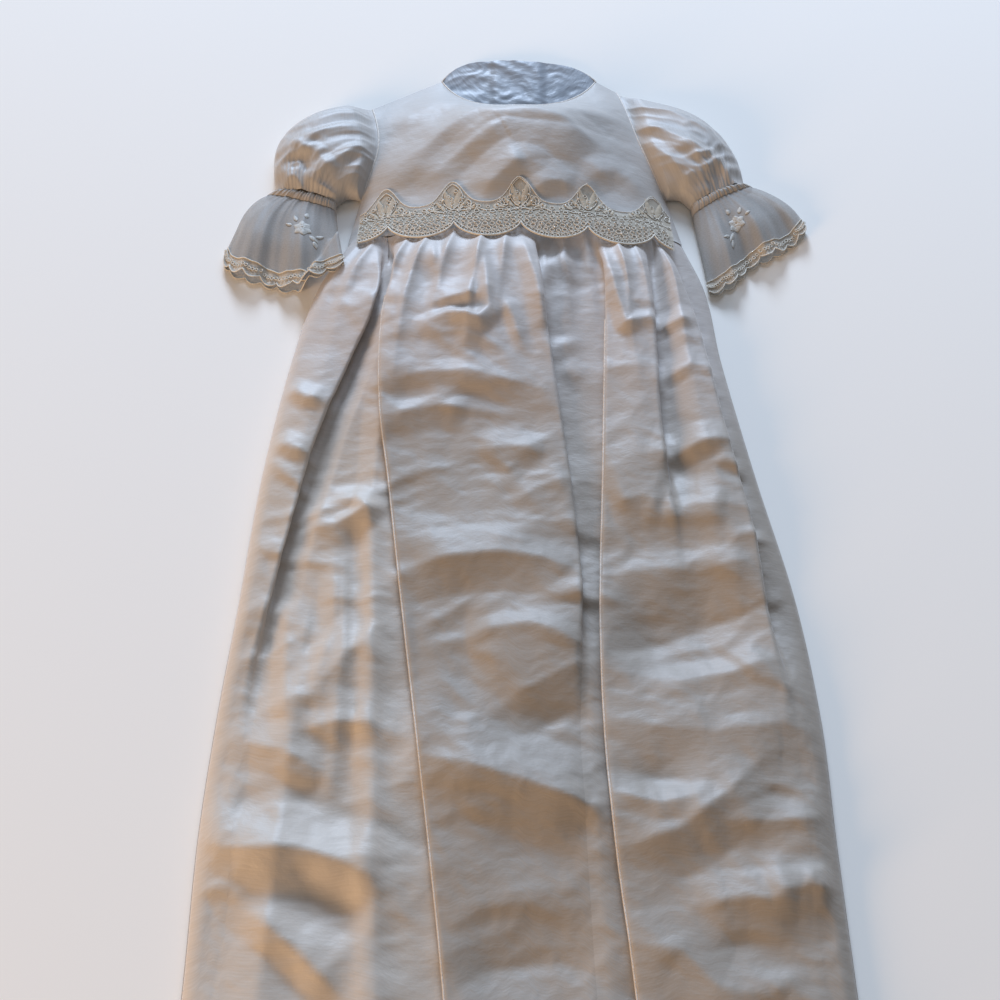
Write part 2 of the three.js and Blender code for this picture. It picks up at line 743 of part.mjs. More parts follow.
function sleevePatch(sleeve) {
  const armhole = planCurve(sleeve.armhole);
  const bandFrom = new THREE.Vector2(...sleeve.bandInner);
  const bandTo = new THREE.Vector2(...sleeve.bandOuter);
  const bandLine = bandTo.clone().sub(bandFrom).normalize();
  const outward = new THREE.Vector2(bandLine.y, -bandLine.x).multiplyScalar(sleeve.out);
  const asPoint = (p) => new THREE.Vector3(p.x, p.y, 0);
  const gap = 0.6 * seamGap;
  const bandAt = (w, away) => bandFrom.clone().lerp(bandTo, w).addScaledVector(outward, away);
  const armholeAt = (w) => {
    const t = armhole.getTangentAt(w);
    const away = new THREE.Vector2(-t.y, t.x).multiplyScalar(-sleeve.out * 1.6 * seamGap);
    return armhole.getPointAt(w).add(away);
  };
  const joined = (from, points, to) => planCurve([from, ...points.map((p) => ({ x: p[0], y: p[1] })), to]);
  const puffInner = joined(armholeAt(0), sleeve.puffInner, bandAt(0, -gap));
  const puffOuter = joined(armholeAt(1), sleeve.puffOuter, bandAt(1, -gap));
  const edge = planCurve(sleeve.ruffleEdge);
  const ruffleInner = joined(bandAt(0, gap), sleeve.ruffleInner, edge.getPointAt(0));
  const ruffleOuter = joined(bandAt(1, gap), sleeve.ruffleOuter, edge.getPointAt(1));
  return {
    puff: patch(
      (w) => asPoint(armholeAt(w)),
      (w) => asPoint(bandAt(w, -gap)),
      (s) => asPoint(puffInner.getPointAt(s)),
      (s) => asPoint(puffOuter.getPointAt(s)),
    ),
    ruffle: patch(
      (w) => asPoint(bandAt(w, gap)),
      (w) => asPoint(edge.getPointAt(w)),
      (s) => asPoint(ruffleInner.getPointAt(s)),
      (s) => asPoint(ruffleOuter.getPointAt(s)),
    ),
  };
}

function puffPoint(sleeve, plan, place, s) {
  const point = plan.puff(place.w, s);
  const swell = arch(s * 0.92 + 0.05) ** 0.8;
  const ends = THREE.MathUtils.lerp(layerStep + halfWall + armholeLift, sleeve.bandHeight, s);
  point.z = tubeHeight(place, ends + (sleeve.puffHeight - ends) * swell, 0);
  if (place.up) {
    const fade = 2.0 * Math.exp(-((s / 0.4) ** 2)) + 1.8 * Math.exp(-(((1 - s) / 0.35) ** 2));
    point.z += domeShare(place.w) * fade * Math.cos(2 * Math.PI * sleeveGathers * place.w);
  }
  return point;
}

// How far the ruffle's lower layer is lifted where it lies on the skirt
const clearOfSkirt = 10;
function restHeight(sleeve, x, y) {
  if (y > seamGap || !sleeve.onSkirt) return 0;
  const edge = edges(-y);
  const inside = Math.min(x - edge.left, edge.right - x);
  return (waistSideHeight + clearOfSkirt) * smooth(-14, -4, inside);
}

function rufflePoint(sleeve, plan, place, s) {
  const point = plan.ruffle(place.w, s);
  const spread = THREE.MathUtils.lerp(sleeve.bandHeight, sleeve.ruffleHeight, smooth(0, 0.5, s));
  point.z = tubeHeight(place, spread - 4 * smooth(0.6, 1, s), restHeight(sleeve, point.x, point.y));
  if (place.up) {
    const gather = 1.8 * Math.exp(-((s / 0.25) ** 2)) * Math.cos(2 * Math.PI * sleeveGathers * place.w);
    const turns = sleeve.waves * place.w + sleeve.waveStart;
    const wave = 3.6 * smooth(0.1, 0.8, s) * Math.cos(2 * Math.PI * turns);
    point.z += domeShare(place.w) * (gather + wave);
  }
  return point;
}

function addSleeve(sleeve) {
  const plan = sleevePatch(sleeve);
  const puffRing = ringShares(4 * sleeveGathers, 8);
  const puffSteps = [0, 0.12, 0.26, 0.44, 0.62, 0.78, 0.9, 1];
  const puff = puffSteps.map((s) => puffRing.map((place) => puffPoint(sleeve, plan, place, s)));
  addCloth(`sleeve_${sleeve.side}`, puff, silk, true);

  const cuffRing = ringShares(4 * cuffScallops, 2 * cuffScallops);
  const laceGap = 0.003;
  const ruffleSteps = [0, 0.16, 0.38, 0.62, cuffLaceShare - laceGap];
  const ruffle = ruffleSteps.map((s) => cuffRing.map((place) => rufflePoint(sleeve, plan, place, s)));
  addCloth(`cuff_${sleeve.side}`, ruffle, organza, true);

  const depth = 1 - cuffLaceShare - laceGap;
  const laceSteps = [0, 0.5, 1];
  const edging = laceSteps.map((t) => cuffRing.map((place) => {
    const dip = 1 - Math.abs(Math.sin(Math.PI * cuffScallops * place.w)) ** 0.7;
    return rufflePoint(sleeve, plan, place, cuffLaceShare + laceGap + depth * t * (1 - 0.35 * dip));
  }));
  addCloth(`cuff_lace_${sleeve.side}`, edging, lace, true);
}

// Corded lace over the waist seam, made from the points under it, moved out
function laceLow(x) {
  const notchLine = 2 - 0.035 * x;
  const f = THREE.MathUtils.euclideanModulo((x - laceNotchX) / laceRepeat, 1);
  return notchLine - laceScallop * (1 - (2 * f - 1) ** 2) ** 0.6;
}

function laceHigh(x) {
  const f = THREE.MathUtils.euclideanModulo((x - lacePeakX) / lacePeakRepeat + 0.5, 1) - 0.5;
  const peak = Math.exp(-((f * lacePeakRepeat / lacePeakWidth) ** 2));
  return laceBandTop - 0.03 * x + lacePeak * peak;
}

// Height of the bodice at a place on it, found in a few steps of correction
function bodiceAt(x, y) {
  const width = waistRight.x - waistLeft.x;
  const length = armholeLeft[armholeLeft.length - 1].y;
  let a = (x - waistLeft.x) / width;
  let b = y / length;
  for (let k = 0; k < 12; k += 1) {
    const p = bodicePoint(a, b);
    a += (x - p.x) / width;
    b = Math.max(0, b + (y - p.y) / length);
  }
  return bodicePoint(a, b).z;
}

const gatherAllowance = 3.6;
function laceBed(x, y) {
  const under = y > 0 ? bodiceAt(x, y) : roundedCrown(x, -y);
  const clear = gatherAllowance * (1 - smooth(2, 24, y));
  return under + clear;
}

function addWaistLace() {
  const cols = 54;
  const rowShares = [0, 0.12, 0.3, 0.55, 0.8, 1];
  const raised = [0.5, 0, 0.5, 0, 0.5, 0.2];
  const grid = rowShares.map((share) => Array.from({ length: cols + 1 }, (_, c) => {
    const x = THREE.MathUtils.lerp(-laceReach, laceReach, c / cols);
    const y = THREE.MathUtils.lerp(laceLow(x), laceHigh(x), share);
    return new THREE.Vector3(x, y, laceBed(x, y));
  }));
  const normals = across(grid, false);
  const seat = halfWall + seamGap + 0.1;
  const outer = moved(grid, normals, (r) => seat + wall + raised[r]);
  const inner = moved(grid, normals, seat);
  addPiece('waist_lace', solidBetween(outer, inner, false), lace);
}

addSkirt();
addBodice();
for (const sleeve of sleeves) addSleeve(sleeve);
addWaistLace();

// The part's origin is the middle of its footprint, on the surface
gown.updateMatrixWorld(true);
const box = new THREE.Box3().setFromObject(gown);
gown.position.set(-(box.min.x + box.max.x) / 2, -(box.min.y + box.max.y) / 2, -box.min.z);
gown.updateMatrixWorld(true);

export default gown;
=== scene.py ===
# %% [markdown]
# A christening gown of slubbed silk, lying on its back. The gown is cloth all over, so this lesson is about
# sheets: how a flat piece of cloth gets its folds, gathers and creases, and how thin, shiny threads take
# light. All sizes are in millimetres until a mesh is made, and the origin is the middle of the waist seam.

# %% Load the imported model
import bpy
import math
import numpy as np
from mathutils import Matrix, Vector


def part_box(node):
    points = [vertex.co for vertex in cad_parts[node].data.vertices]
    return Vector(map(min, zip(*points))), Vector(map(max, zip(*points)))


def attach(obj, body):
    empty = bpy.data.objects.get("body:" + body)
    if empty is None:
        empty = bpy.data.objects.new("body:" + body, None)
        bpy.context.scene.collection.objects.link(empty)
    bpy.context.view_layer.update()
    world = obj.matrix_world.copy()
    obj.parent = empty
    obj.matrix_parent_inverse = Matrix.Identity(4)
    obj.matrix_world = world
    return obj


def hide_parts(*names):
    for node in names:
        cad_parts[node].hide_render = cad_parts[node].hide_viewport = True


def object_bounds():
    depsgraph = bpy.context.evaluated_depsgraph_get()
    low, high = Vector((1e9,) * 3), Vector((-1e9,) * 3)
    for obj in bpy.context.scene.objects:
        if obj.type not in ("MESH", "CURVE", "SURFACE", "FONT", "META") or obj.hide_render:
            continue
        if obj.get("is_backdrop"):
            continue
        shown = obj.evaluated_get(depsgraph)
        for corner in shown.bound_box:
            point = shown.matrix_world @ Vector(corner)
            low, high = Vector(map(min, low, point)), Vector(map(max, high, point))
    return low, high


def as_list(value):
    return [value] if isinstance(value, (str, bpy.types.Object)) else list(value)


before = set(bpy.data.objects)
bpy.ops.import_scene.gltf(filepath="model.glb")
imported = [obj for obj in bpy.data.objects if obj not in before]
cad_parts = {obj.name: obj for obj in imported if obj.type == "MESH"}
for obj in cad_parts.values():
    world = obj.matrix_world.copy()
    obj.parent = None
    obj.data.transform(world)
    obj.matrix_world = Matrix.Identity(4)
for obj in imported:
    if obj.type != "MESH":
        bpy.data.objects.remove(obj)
cad_low, cad_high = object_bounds()
skirt_low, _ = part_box("skirt_back")
SKIRT_LENGTH, HEM_LEFT, HEM_RIGHT, HALF_WAIST = 700.0, 194.0, 195.0, 124.0
SHIFT = np.array([1000 * skirt_low.x + HEM_LEFT, 1000 * skirt_low.y + SKIRT_LENGTH, 0.0])
print("the waist seam's middle lies at", SHIFT.round(2), "mm")

# %% [markdown]
# The photograph looks down at the gown from its hem end. A camera 60 degrees above the horizon, about 1.1 m
# from the waist, gives the same narrowing towards the neck. It comes first, so that each piece can be seen
# as it is made. Its place was found by laying the waist, neck and side edges over those in the photograph.

# %% Camera
CAMERA_AT = np.array([-11.03, -717.03, 869.59])
CAMERA_TILT, CAMERA_LENS, SENSOR_WIDTH = 30, 54, 36

camera = bpy.data.objects.new("camera", bpy.data.cameras.new("camera"))
bpy.context.scene.collection.objects.link(camera)
camera.data.sensor_width = SENSOR_WIDTH
camera.data.lens = CAMERA_LENS
camera.location = (CAMERA_AT + SHIFT) / 1000
camera.rotation_euler = (math.radians(CAMERA_TILT), 0, 0)
bpy.context.scene.camera = camera
print("camera at", [round(v, 3) for v in camera.location])

# %% [markdown]
# Cloth is a grid of points. One helper turns a grid into a mesh with quads, smooth shading and a UV map in
# metres of cloth, so that a weave on that map has its true size. Rows run along the cloth, columns across
# it.

# %% Grids
def smooth(low, high, value):
    """Goes from 0 at low to 1 at high with no corner at either end."""
    t = np.clip((value - low) / (high - low), 0, 1)
    return t * t * (3 - 2 * t)


def lerp(a, b, t):
    return a + (b - a) * t


def arch(t):
    """Rises from 0 to 1 in the middle of a stretch and back to 0."""
    return np.maximum(0, np.sin(np.pi * np.clip(t, 0, 1)))


def link(name, mesh):
    piece = bpy.data.objects.new(name.replace(" ", "_"), mesh)
    bpy.context.scene.collection.objects.link(piece)
    return piece


def cloth_lengths(grid):
    """How far each point lies across and along the cloth, measured on the cloth itself."""
    across_steps = np.linalg.norm(np.diff(grid, axis=1), axis=2)
    along_steps = np.linalg.norm(np.diff(grid, axis=0), axis=2)
    u = np.concatenate([np.zeros((len(grid), 1)), np.cumsum(across_steps, 1)], 1)
    v = np.concatenate([np.zeros((1, grid.shape[1])), np.cumsum(along_steps, 0)], 0)
    return u - u[:, -1:] / 2, v


def cloth(name, grid, ring=False, up=1):
    """A mesh from rows x columns points in mm; ring joins the last column to the first."""
    if ring:
        grid = np.concatenate([grid, grid[:, :1]], 1)
    rows, cols = grid.shape[:2]
    u, v = cloth_lengths(grid)
    keep = cols - 1 if ring else cols
    points = (grid[:, :keep] + SHIFT) / 1000
    r, c = np.meshgrid(np.arange(rows - 1), np.arange(cols - 1), indexing="ij")
    corner = lambda dr, dc: ((r + dr) * keep + (c + dc) % keep).ravel()
    flat = lambda dr, dc: ((r + dr) * cols + c + dc).ravel()
    order = [(0, 0), (0, 1), (1, 1), (1, 0)]
    if up < 0:
        order.reverse()
    faces = np.stack([corner(*o) for o in order], 1)
    uvs = np.stack([flat(*o) for o in order], 1).ravel()
    mesh = bpy.data.meshes.new(name)
    mesh.from_pydata(points.reshape(-1, 3).tolist(), [], faces.tolist())
    layer = mesh.uv_layers.new(name="Cloth")
    uv = np.stack([u.ravel()[uvs], v.ravel()[uvs]], 1) / 1000
    layer.data.foreach_set("uv", uv.ravel().astype(np.float32))
    mesh.polygons.foreach_set("use_smooth", [True] * len(mesh.polygons))
    mesh.update()
    print(f"{name}: {len(faces)} faces")
    return link(name, mesh)


# %% [markdown]
# The skirt's outline and its long folds are read from small tables of sizes, at any distance below the
# waist. A smooth curve through each table keeps a fold from kinking where one row hands over to the next.

# %% Tables
def column(keys, values, at):
    """Reads one column of a table at any distance, along a smooth curve."""
    keys, values, at = np.asarray(keys, float), np.asarray(values, float), np.asarray(at, float)
    last = len(keys) - 1
    i = np.clip(np.searchsorted(keys, at, side="left") - 1, 0, last - 1)
    before, after = np.maximum(np.arange(last + 1) - 1, 0), np.minimum(np.arange(last + 1) + 1, last)
    slope = (values[after] - values[before]) / (keys[after] - keys[before])
    span = keys[i + 1] - keys[i]
    t = np.clip((at - keys[i]) / span, 0, 1)
    rise = (3 - 2 * t) * t * t
    return (values[i] * (1 - rise) + values[i + 1] * rise
            + span * slope[i] * t * (1 - t) ** 2 - span * slope[i + 1] * t * t * (1 - t))


# Each row: distance below the waist, then the left and the right side
OUTLINE = np.array([
    [0, -HALF_WAIST, HALF_WAIST], [42, -144, 138], [103, -158, 145], [202, -172, 162], [291, -179, 179],
    [373, -186, 187], [449, -190, 188], [539, -190, 190], [SKIRT_LENGTH, -HEM_LEFT, HEM_RIGHT],
])


def edges(down):
    return column(OUTLINE[:, 0], OUTLINE[:, 1], down), column(OUTLINE[:, 0], OUTLINE[:, 2], down)


# Each fold: the side that lies on top, then rows of distance below the waist, place, turn and lap
FOLDS = [
    ("left", [[0, -103, .3, .5], [28, -98, .6, 1], [50, -97, .8, 2], [78, -102, .85, 4], [107, -113, .85, 6],
              [177, -135, .8, 8], [243, -148, .8, 7], [303, -159, .6, 3], [345, -167, .3, .5],
              [400, -170, 0, .5], [700, -172, 0, .5]]),
    ("right", [[0, -84, .3, .5], [40, -88, .9, 3], [83, -94, 1, 8], [148, -93, 1, 12], [208, -85, 1, 14],
               [316, -71, 1, 16], [450, -53, 1, 18], [542, -42, 1, 18], [700, -28, 1, 18]]),
    ("left", [[0, 7, .3, .5], [30, 16, .9, 3], [94, 23, 1, 6], [152, 30, 1, 7], [220, 37, 1, 6],
              [292, 41, .8, 3], [345, 36, .2, .5], [400, 34, 0, .5], [700, 46, 0, .5]]),
    ("right", [[0, 62, .2, .5], [40, 64, .7, 2], [78, 63, 1, 5], [210, 57, 1, 8], [316, 52, 1, 9],
               [424, 54, 1, 9], [542, 65, 1, 9], [700, 78, 1, 9]]),
    ("left", [[0, 90, .3, .5], [61, 97, .7, 2], [157, 98, .7, 2], [222, 100, .3, .5], [280, 104, 0, .5],
              [700, 122, 0, .5]]),
    ("left", [[0, 103, .1, .5], [40, 118, .5, 1], [83, 129, .7, 3], [168, 142, .8, 4], [245, 154, .8, 4],
              [298, 158, .7, 3], [357, 163, .2, .5], [400, 164, 0, .5], [700, 168, 0, .5]]),
]
print(len(FOLDS), "long folds")

# %% [markdown]
# The height of the cloth adds up from parts: a crown over the skirt's width, gathers that run down from the
# waist, broad swells, and creases. A crease is a line with a height and a width to each side of it. Crisp
# silk breaks into sharp crests with one steep side, so the two widths differ, and the crest is tightly
# round.

# %% Height of the skirt
LAYER = 1.5
FOLD_RADIUS = 1.7
EDGE_ROUND = 10.0
HALF_WALL = 0.6
WAIST_HEIGHT, WAIST_SIDE, SKIRT_HEIGHT, BULGE, WAIST_FADE = 22.0, 7.0, 10.0, 1.5, 130.0
GATHER_WIDTH, GATHER_SPREAD, GATHER_RISE, GATHER_ROUND = 3.4, 100, 1.9, 0.8
# Each gather: place on the waist seam, height and run
GATHERS = np.array([
    [-112, 2.4, 60], [-101, 2.8, 80], [-76, 3.4, 60], [-62, 3.6, 95], [-44, 3.0, 70], [-23, 3.6, 90],
    [-6, 2.8, 60], [20, 2.6, 75], [34, 3.2, 90], [50, 2.6, 60], [72, 3.4, 85], [84, 2.6, 60], [103, 2.8, 80],
])
# Each swell: from x and down, to x and down, half width and height
SWELLS = np.array([
    [-60, 90, 0, 70, 34, 3], [-66, 252, 30, 240, 15, 3], [-10, 330, 28, 320, 24, 4],
    [-50, 378, 34, 424, 20, 3], [-170, 446, -100, 470, 16, 3], [-96, 230, -84, 640, 9, 3],
    [-136, 120, -150, 200, 14, 3],
    [110, 590, 150, 650, 34, 3], [-130, 560, -120, 690, 20, 3],
], float)


def gathers_open(down):
    """The seam holds the gathers shut, and they open within 34 mm below it."""
    return 0.3 + 0.7 * smooth(0, 34, down)


def gather_height(x, down):
    left, right = edges(down)
    height = 0
    for place, rise, run in GATHERS:
        middle = left + (place + HALF_WAIST) / (2 * HALF_WAIST) * (right - left)
        width = GATHER_WIDTH * (1 + down / GATHER_SPREAD)
        crest = np.exp(-(np.hypot(x - middle, GATHER_ROUND) - GATHER_ROUND) / width)
        height = height + GATHER_RISE * rise * np.exp(-((down / run) ** 2)) * crest
    return height * gathers_open(down)


def to_segment(x, y, a, b):
    """Distance from points to a segment, share along it, and side: positive on the right hand."""
    dx, dy = b[0] - a[0], b[1] - a[1]
    t = np.clip(((x - a[0]) * dx + (y - a[1]) * dy) / (dx * dx + dy * dy), 0, 1)
    away = np.hypot(x - a[0] - t * dx, y - a[1] - t * dy)
    return away, t, dx * (y - a[1]) - dy * (x - a[0])


def swell_height(x, down):
    height = 0
    for x0, d0, x1, d1, width, rise in SWELLS:
        away, _, _ = to_segment(x, down, (x0, d0), (x1, d1))
        height = height + rise * np.exp(-((away / width) ** 2))
    return height


def crown(x, down):
    """The low dome of the whole skirt, highest at the waist, where the bodice's fullness lifts it."""
    left, right = edges(down)
    u = (2 * x - left - right) / (right - left)
    base = lerp(WAIST_SIDE, SKIRT_HEIGHT, smooth(0, 160, down))
    lift = (WAIST_HEIGHT - WAIST_SIDE) * np.exp(-((down / WAIST_FADE) ** 2)) + BULGE
    return base + lift * np.maximum(0, 1 - u * u)


def skirt_middle(x, down):
    return crown(x, down) + gather_height(x, down) + swell_height(x, down)


print("height at the middle of the waist:", crown(np.array(0.0), np.array(0.0)).round(1), "mm")

# %% [markdown]
# One function makes every crease, on the skirt, the bodice and the puffs. It could be a brush stroke in
# sculpt mode, but a line with sizes can be moved and measured. The height falls away from the line, and the
# ends taper. Where the line bends, the nearest of its spans decides the width, so a crease has no gap at a
# corner.

# %% One crease
def crease(x, y, line, rise, left_hand, right_hand, crest=0.7):
    """Height of one crease along a line of points; the widths are to its left and right hand."""
    best, turn, share = np.full(x.shape, 1e9), np.zeros(x.shape), np.zeros(x.shape)
    spans = [math.dist(a, b) for a, b in zip(line, line[1:])]
    start = 0
    for a, b, span in zip(line, line[1:], spans):
        away, t, hand = to_segment(x, y, a, b)
        nearer = away < best
        best, turn = np.where(nearer, away, best), np.where(nearer, hand / (span * away + 1e-9), turn)
        share = np.where(nearer, (start + t * span) / sum(spans), share)
        start += span
    width = lerp(left_hand, right_hand, 0.5 + 0.5 * np.clip(turn, -1, 1))
    taper = smooth(-0.05, 0.3, share) * smooth(1.05, 0.75, share)
    reach = np.clip((np.hypot(best, crest) - crest) / (2.0 * width), 0, 1)
    return rise * (0.35 + 0.65 * taper) * (1 - reach) ** 1.15


# %% [markdown]
# These are the creases that the eye finds first. Each one is named by where it is, and has
# its line, its height and its width to the left and right hand. Going from left to right, the left hand is
# the side of the neck and the right hand the side of the hem. A height below zero makes a trough.

# %% Creases of the skirt
SKIRT_CREASES = [
    ("hook below the gathers", [(-22, 30), (-20, 60), (-19, 78), (-26, 88), (-46, 82), (-62, 88)], 4.2, 5, 4),
    ("small slanting crest", [(-9, 67), (-2, 85), (3, 103)], 2.2, 4, 3),
    ("pressed line beside the left fold",
     [(-84, 60), (-92, 150), (-96, 230), (-90, 330), (-85, 450), (-70, 690)], 2.6, 14, 6),
    ("edge of the bright facet", [(-60, 0), (-58, 40)], 3.1, 3, 6),
    ("golden side of the left fold",
     [(-84, 66), (-96, 110), (-117, 177), (-131, 243), (-139, 300)], 3.6, 15, 7),
    ("left soft pleat", [(-128, 240), (-134, 340), (-140, 460), (-150, 600)], 3.1, 9, 12),
    ("left narrow pleat", [(-112, 250), (-108, 330), (-112, 430)], 2.5, 5, 8),
    ("roll beside the centre fold", [(2, 0), (9, 30), (15, 57), (19, 84)], 3.1, 3, 5),
    ("small facet", [(20, 48), (31, 24), (41, 42)], 2.5, 5, 4),
    ("first nick", [(27, 104), (46, 93)], 1.4, 6, 5),
    ("second nick", [(31, 118), (46, 126)], 1.2, 6, 5),
    ("hook of the right panel", [(66, 30), (71, 60), (77, 86), (94, 79)], 3.4, 4, 4),
    ("right nick", [(99, 84), (125, 77)], 2.5, 6, 4),
    ("right second nick", [(102, 126), (121, 117), (140, 120)], 2.8, 8, 4),
    ("right third nick", [(101, 190), (123, 181), (146, 177)], 3.1, 9, 5),
    ("left nick", [(-158, 136), (-143, 148), (-130, 148)], 2.8, 6, 4),
    ("left second nick", [(-164, 182), (-152, 186), (-139, 191)], 2.5, 6, 4),
    ("left hook", [(-124, 224), (-106, 221), (-99, 231), (-118, 243)], 3.4, 6, 5),
    ("left upright", [(-146, 300), (-144, 344), (-140, 384)], 3.1, 7, 5),
    ("left second upright", [(-118, 262), (-115, 314), (-128, 364)], 3.4, 9, 6),
    ("right middle", [(56, 424), (83, 431), (102, 428)], 2.2, 8, 5),
    ("near the hem, left", [(-180, 590), (-140, 604), (-96, 596)], 4.2, 16, 8),
    ("near the hem, centre", [(-24, 600), (10, 612), (50, 604)], 4.2, 16, 8),
    ("near the hem, right", [(92, 574), (130, 590), (182, 580)], 4.2, 15, 8),
    ("hem, left", [(-176, 650), (-130, 640), (-60, 652)], 3.6, 14, 8),
    ("hem, right", [(60, 640), (112, 654), (170, 640)], 3.6, 14, 8),
    ("under the bright facet", [(-56, 71), (-43, 68), (-28, 66)], 3.0, 9, 4),
    ("second step of the centre", [(-67, 98), (-42, 96), (-23, 101), (-8, 110)], 3.2, 11, 6),
    ("wide crest", [(-90, 134), (-59, 128), (-32, 128), (1, 136), (16, 139)], 3.6, 14, 8),
    ("third step", [(-90, 162), (-72, 157), (-52, 153), (-31, 158)], 3.0, 8, 8),
    ("fourth step", [(-26, 186), (-4, 185), (19, 191)], 2.6, 8, 9),
    ("short step", [(-3, 227), (15, 216), (37, 208)], 3.0, 10, 12),
    ("main ridge", [(-75, 277), (-50, 270), (-11, 266), (15, 269), (37, 277)], 5.2, 12, 12),
    ("foot of the mound", [(-11, 367), (4, 359), (23, 349), (49, 336)], 4.0, 28, 12),
    ("left side of the mound", [(-33, 297), (-32, 331), (-25, 358)], -1.8, 7, 10),
    ("crease over the mound", [(-24, 320), (8, 316), (36, 328), (51, 328)], 1.4, 5, 4),
    ("slanting step", [(-56, 402), (-29, 409), (1, 418), (42, 432)], 5.4, 17, 16),
    ("foot of the centre", [(-36, 534), (-11, 523), (23, 520), (45, 528)], -3.2, 20, 20),
    ("head of the left triangle", [(-121, 78), (-98, 60)], 2.6, 8, 22),
    ("left crest", [(-138, 246), (-119, 242), (-104, 232), (-99, 222)], 3.0, 10, 8),
    ("left triangle", [(-131, 368), (-110, 341), (-89, 316)], 4.0, 11, 18),
    ("left bar", [(-132, 384), (-105, 379), (-84, 382)], 2.8, 11, 8),
    ("left streak", [(-165, 391), (-143, 397), (-115, 412)], 3.0, 9, 8),
    ("big left step", [(-187, 453), (-159, 459), (-127, 458), (-100, 467), (-81, 478)], 5.0, 15, 15),
    ("foot of the big left step", [(-178, 470), (-152, 484), (-82, 488)], -1.8, 12, 14),
    ("left slant", [(-159, 489), (-132, 509), (-99, 540)], 3.8, 17, 7),
    ("foot of the bright facet", [(60, 228), (81, 223), (97, 227)], 4.6, 34, 13),
    ("right head", [(95, 234), (115, 227), (138, 229)], 3.6, 12, 22),
    ("right second head", [(59, 280), (85, 275), (117, 276), (153, 268)], 3.0, 8, 26),
    ("right trough", [(59, 332), (77, 328), (115, 314), (158, 299)], -5.0, 22, 18),
    ("right fine ridge", [(56, 345), (100, 351), (137, 345), (162, 337)], 1.6, 8, 6),
    ("right ridge", [(56, 379), (86, 383), (122, 385), (159, 379), (183, 387)], 3.8, 26, 16),
    ("right slant", [(61, 457), (94, 446), (122, 425), (142, 406)], 4.6, 17, 13),
    ("right bar", [(121, 442), (153, 441), (183, 437)], 3.0, 10, 13),
    ("right lower", [(100, 490), (129, 485), (160, 489)], 3.4, 14, 12),
    ("right lower second", [(142, 484), (167, 478), (182, 481)], 3.0, 16, 8),
    ("right foot", [(57, 512), (90, 515), (111, 536), (149, 542)], 2.6, 12, 12),
]
print(len(SKIRT_CREASES), "creases placed by hand")

# %% [markdown]
# Between the large creases, stiff silk is crumpled all over. It breaks into facets that meet in crests, and
# short creases run mostly across it. Both come from smooth noise and seeded places, so each run gives the
# same cloth. The facets are sharp crests because the noise is folded at zero.

# %% Crumpled silk
PATCHES = 97, 89


def gradient_noise(x, y, seed):
    """Smooth noise from about -1 to 1, with a new value about every unit."""
    angle = np.random.default_rng(seed).uniform(0, 2 * np.pi, PATCHES)
    i, j = np.floor(x).astype(int), np.floor(y).astype(int)
    fx, fy = x - i, y - j

    def pull(di, dj):
        turn = angle[(i + di) % PATCHES[0], (j + dj) % PATCHES[1]]
        return np.cos(turn) * (fx - di) + np.sin(turn) * (fy - dj)
    wx, wy = fx ** 3 * (fx * (fx * 6 - 15) + 10), fy ** 3 * (fy * (fy * 6 - 15) + 10)
    return 1.6 * lerp(lerp(pull(0, 0), pull(1, 0), wx), lerp(pull(0, 1), pull(1, 1), wx), wy)


def crumple(x, y, size_x, size_y, seed):
    """Facets that meet in crests, as stiff silk crumples; sizes in mm."""
    bent_x = x + 0.35 * size_x * gradient_noise(x / (1.3 * size_x), y / (1.7 * size_y), seed + 1)
    bent_y = y + 0.5 * size_y * gradient_noise(x / (1.1 * size_x), y / (2.3 * size_y), seed + 2)
    level = gradient_noise(bent_x / size_x, bent_y / size_y, seed)
    return 0.5 - 1.6 * (np.hypot(level, 0.06) - 0.06)


def small_creases(count, low, high, seed):
    """Short crests at seeded places, mostly across the cloth, as crumpled silk has."""
    rng = np.random.default_rng(seed)
    for _ in range(count):
        x, y = rng.uniform(low[0], high[0]), rng.uniform(low[1], high[1])
        length, turn = rng.uniform(8, 34), rng.normal(0, 0.45)
        bend = rng.normal(0, 0.2)
        ends = [(x - length * math.cos(turn + bend), y - length * math.sin(turn + bend)), (x, y),
                (x + length * math.cos(turn - bend), y + length * math.sin(turn - bend))]
        yield ends, rng.uniform(0.3, 1.5) * rng.choice([1, 1, -0.7]), rng.uniform(3, 9), rng.uniform(2, 5)


def add_creases(x, y, creases, out):
    """Adds each crease to the heights, only where it reaches."""
    for line, rise, left_hand, right_hand in creases:
        reach = 5 * max(left_hand, right_hand)
        ends = np.array(line)
        near = ((x > ends[:, 0].min() - reach) & (x < ends[:, 0].max() + reach)
                & (y > ends[:, 1].min() - reach) & (y < ends[:, 1].max() + reach))
        out[near] += crease(x[near], y[near], line, rise, left_hand, right_hand)


def skirt_creases(x, down):
    """All creases of the skirt; they stand higher towards the hem, where nothing holds the cloth flat."""
    out = np.zeros(x.shape)
    placed = [(line, rise * (1.5 + 0.7 * smooth(330, 430, line[0][1])), left, right)
              for _, line, rise, left, right in SKIRT_CREASES]
    add_creases(x, down, placed, out)
    add_creases(x, down, small_creases(190, (-185, 40), (185, 690), 11), out)
    patchy = 0.5 + 0.6 * gradient_noise(x / 70, down / 60, 5)
    wide = 1.2 * crumple(x, down, 84, 62, 21) + 1.0 * patchy * crumple(x, down, 30, 19, 31)
    return (out + wide + 0.25 * crumple(x, down, 14, 8, 41)) * smooth(4, 40, down)


# %% [markdown]
# A long fold is cloth that turns over an edge, goes back under itself and comes out again. The points walk
# along that path with steps of constant length, so the cloth isn't stretched. A height alone couldn't do
# this, because the cloth lies three deep there, so the folds move the grid's columns sideways as well.

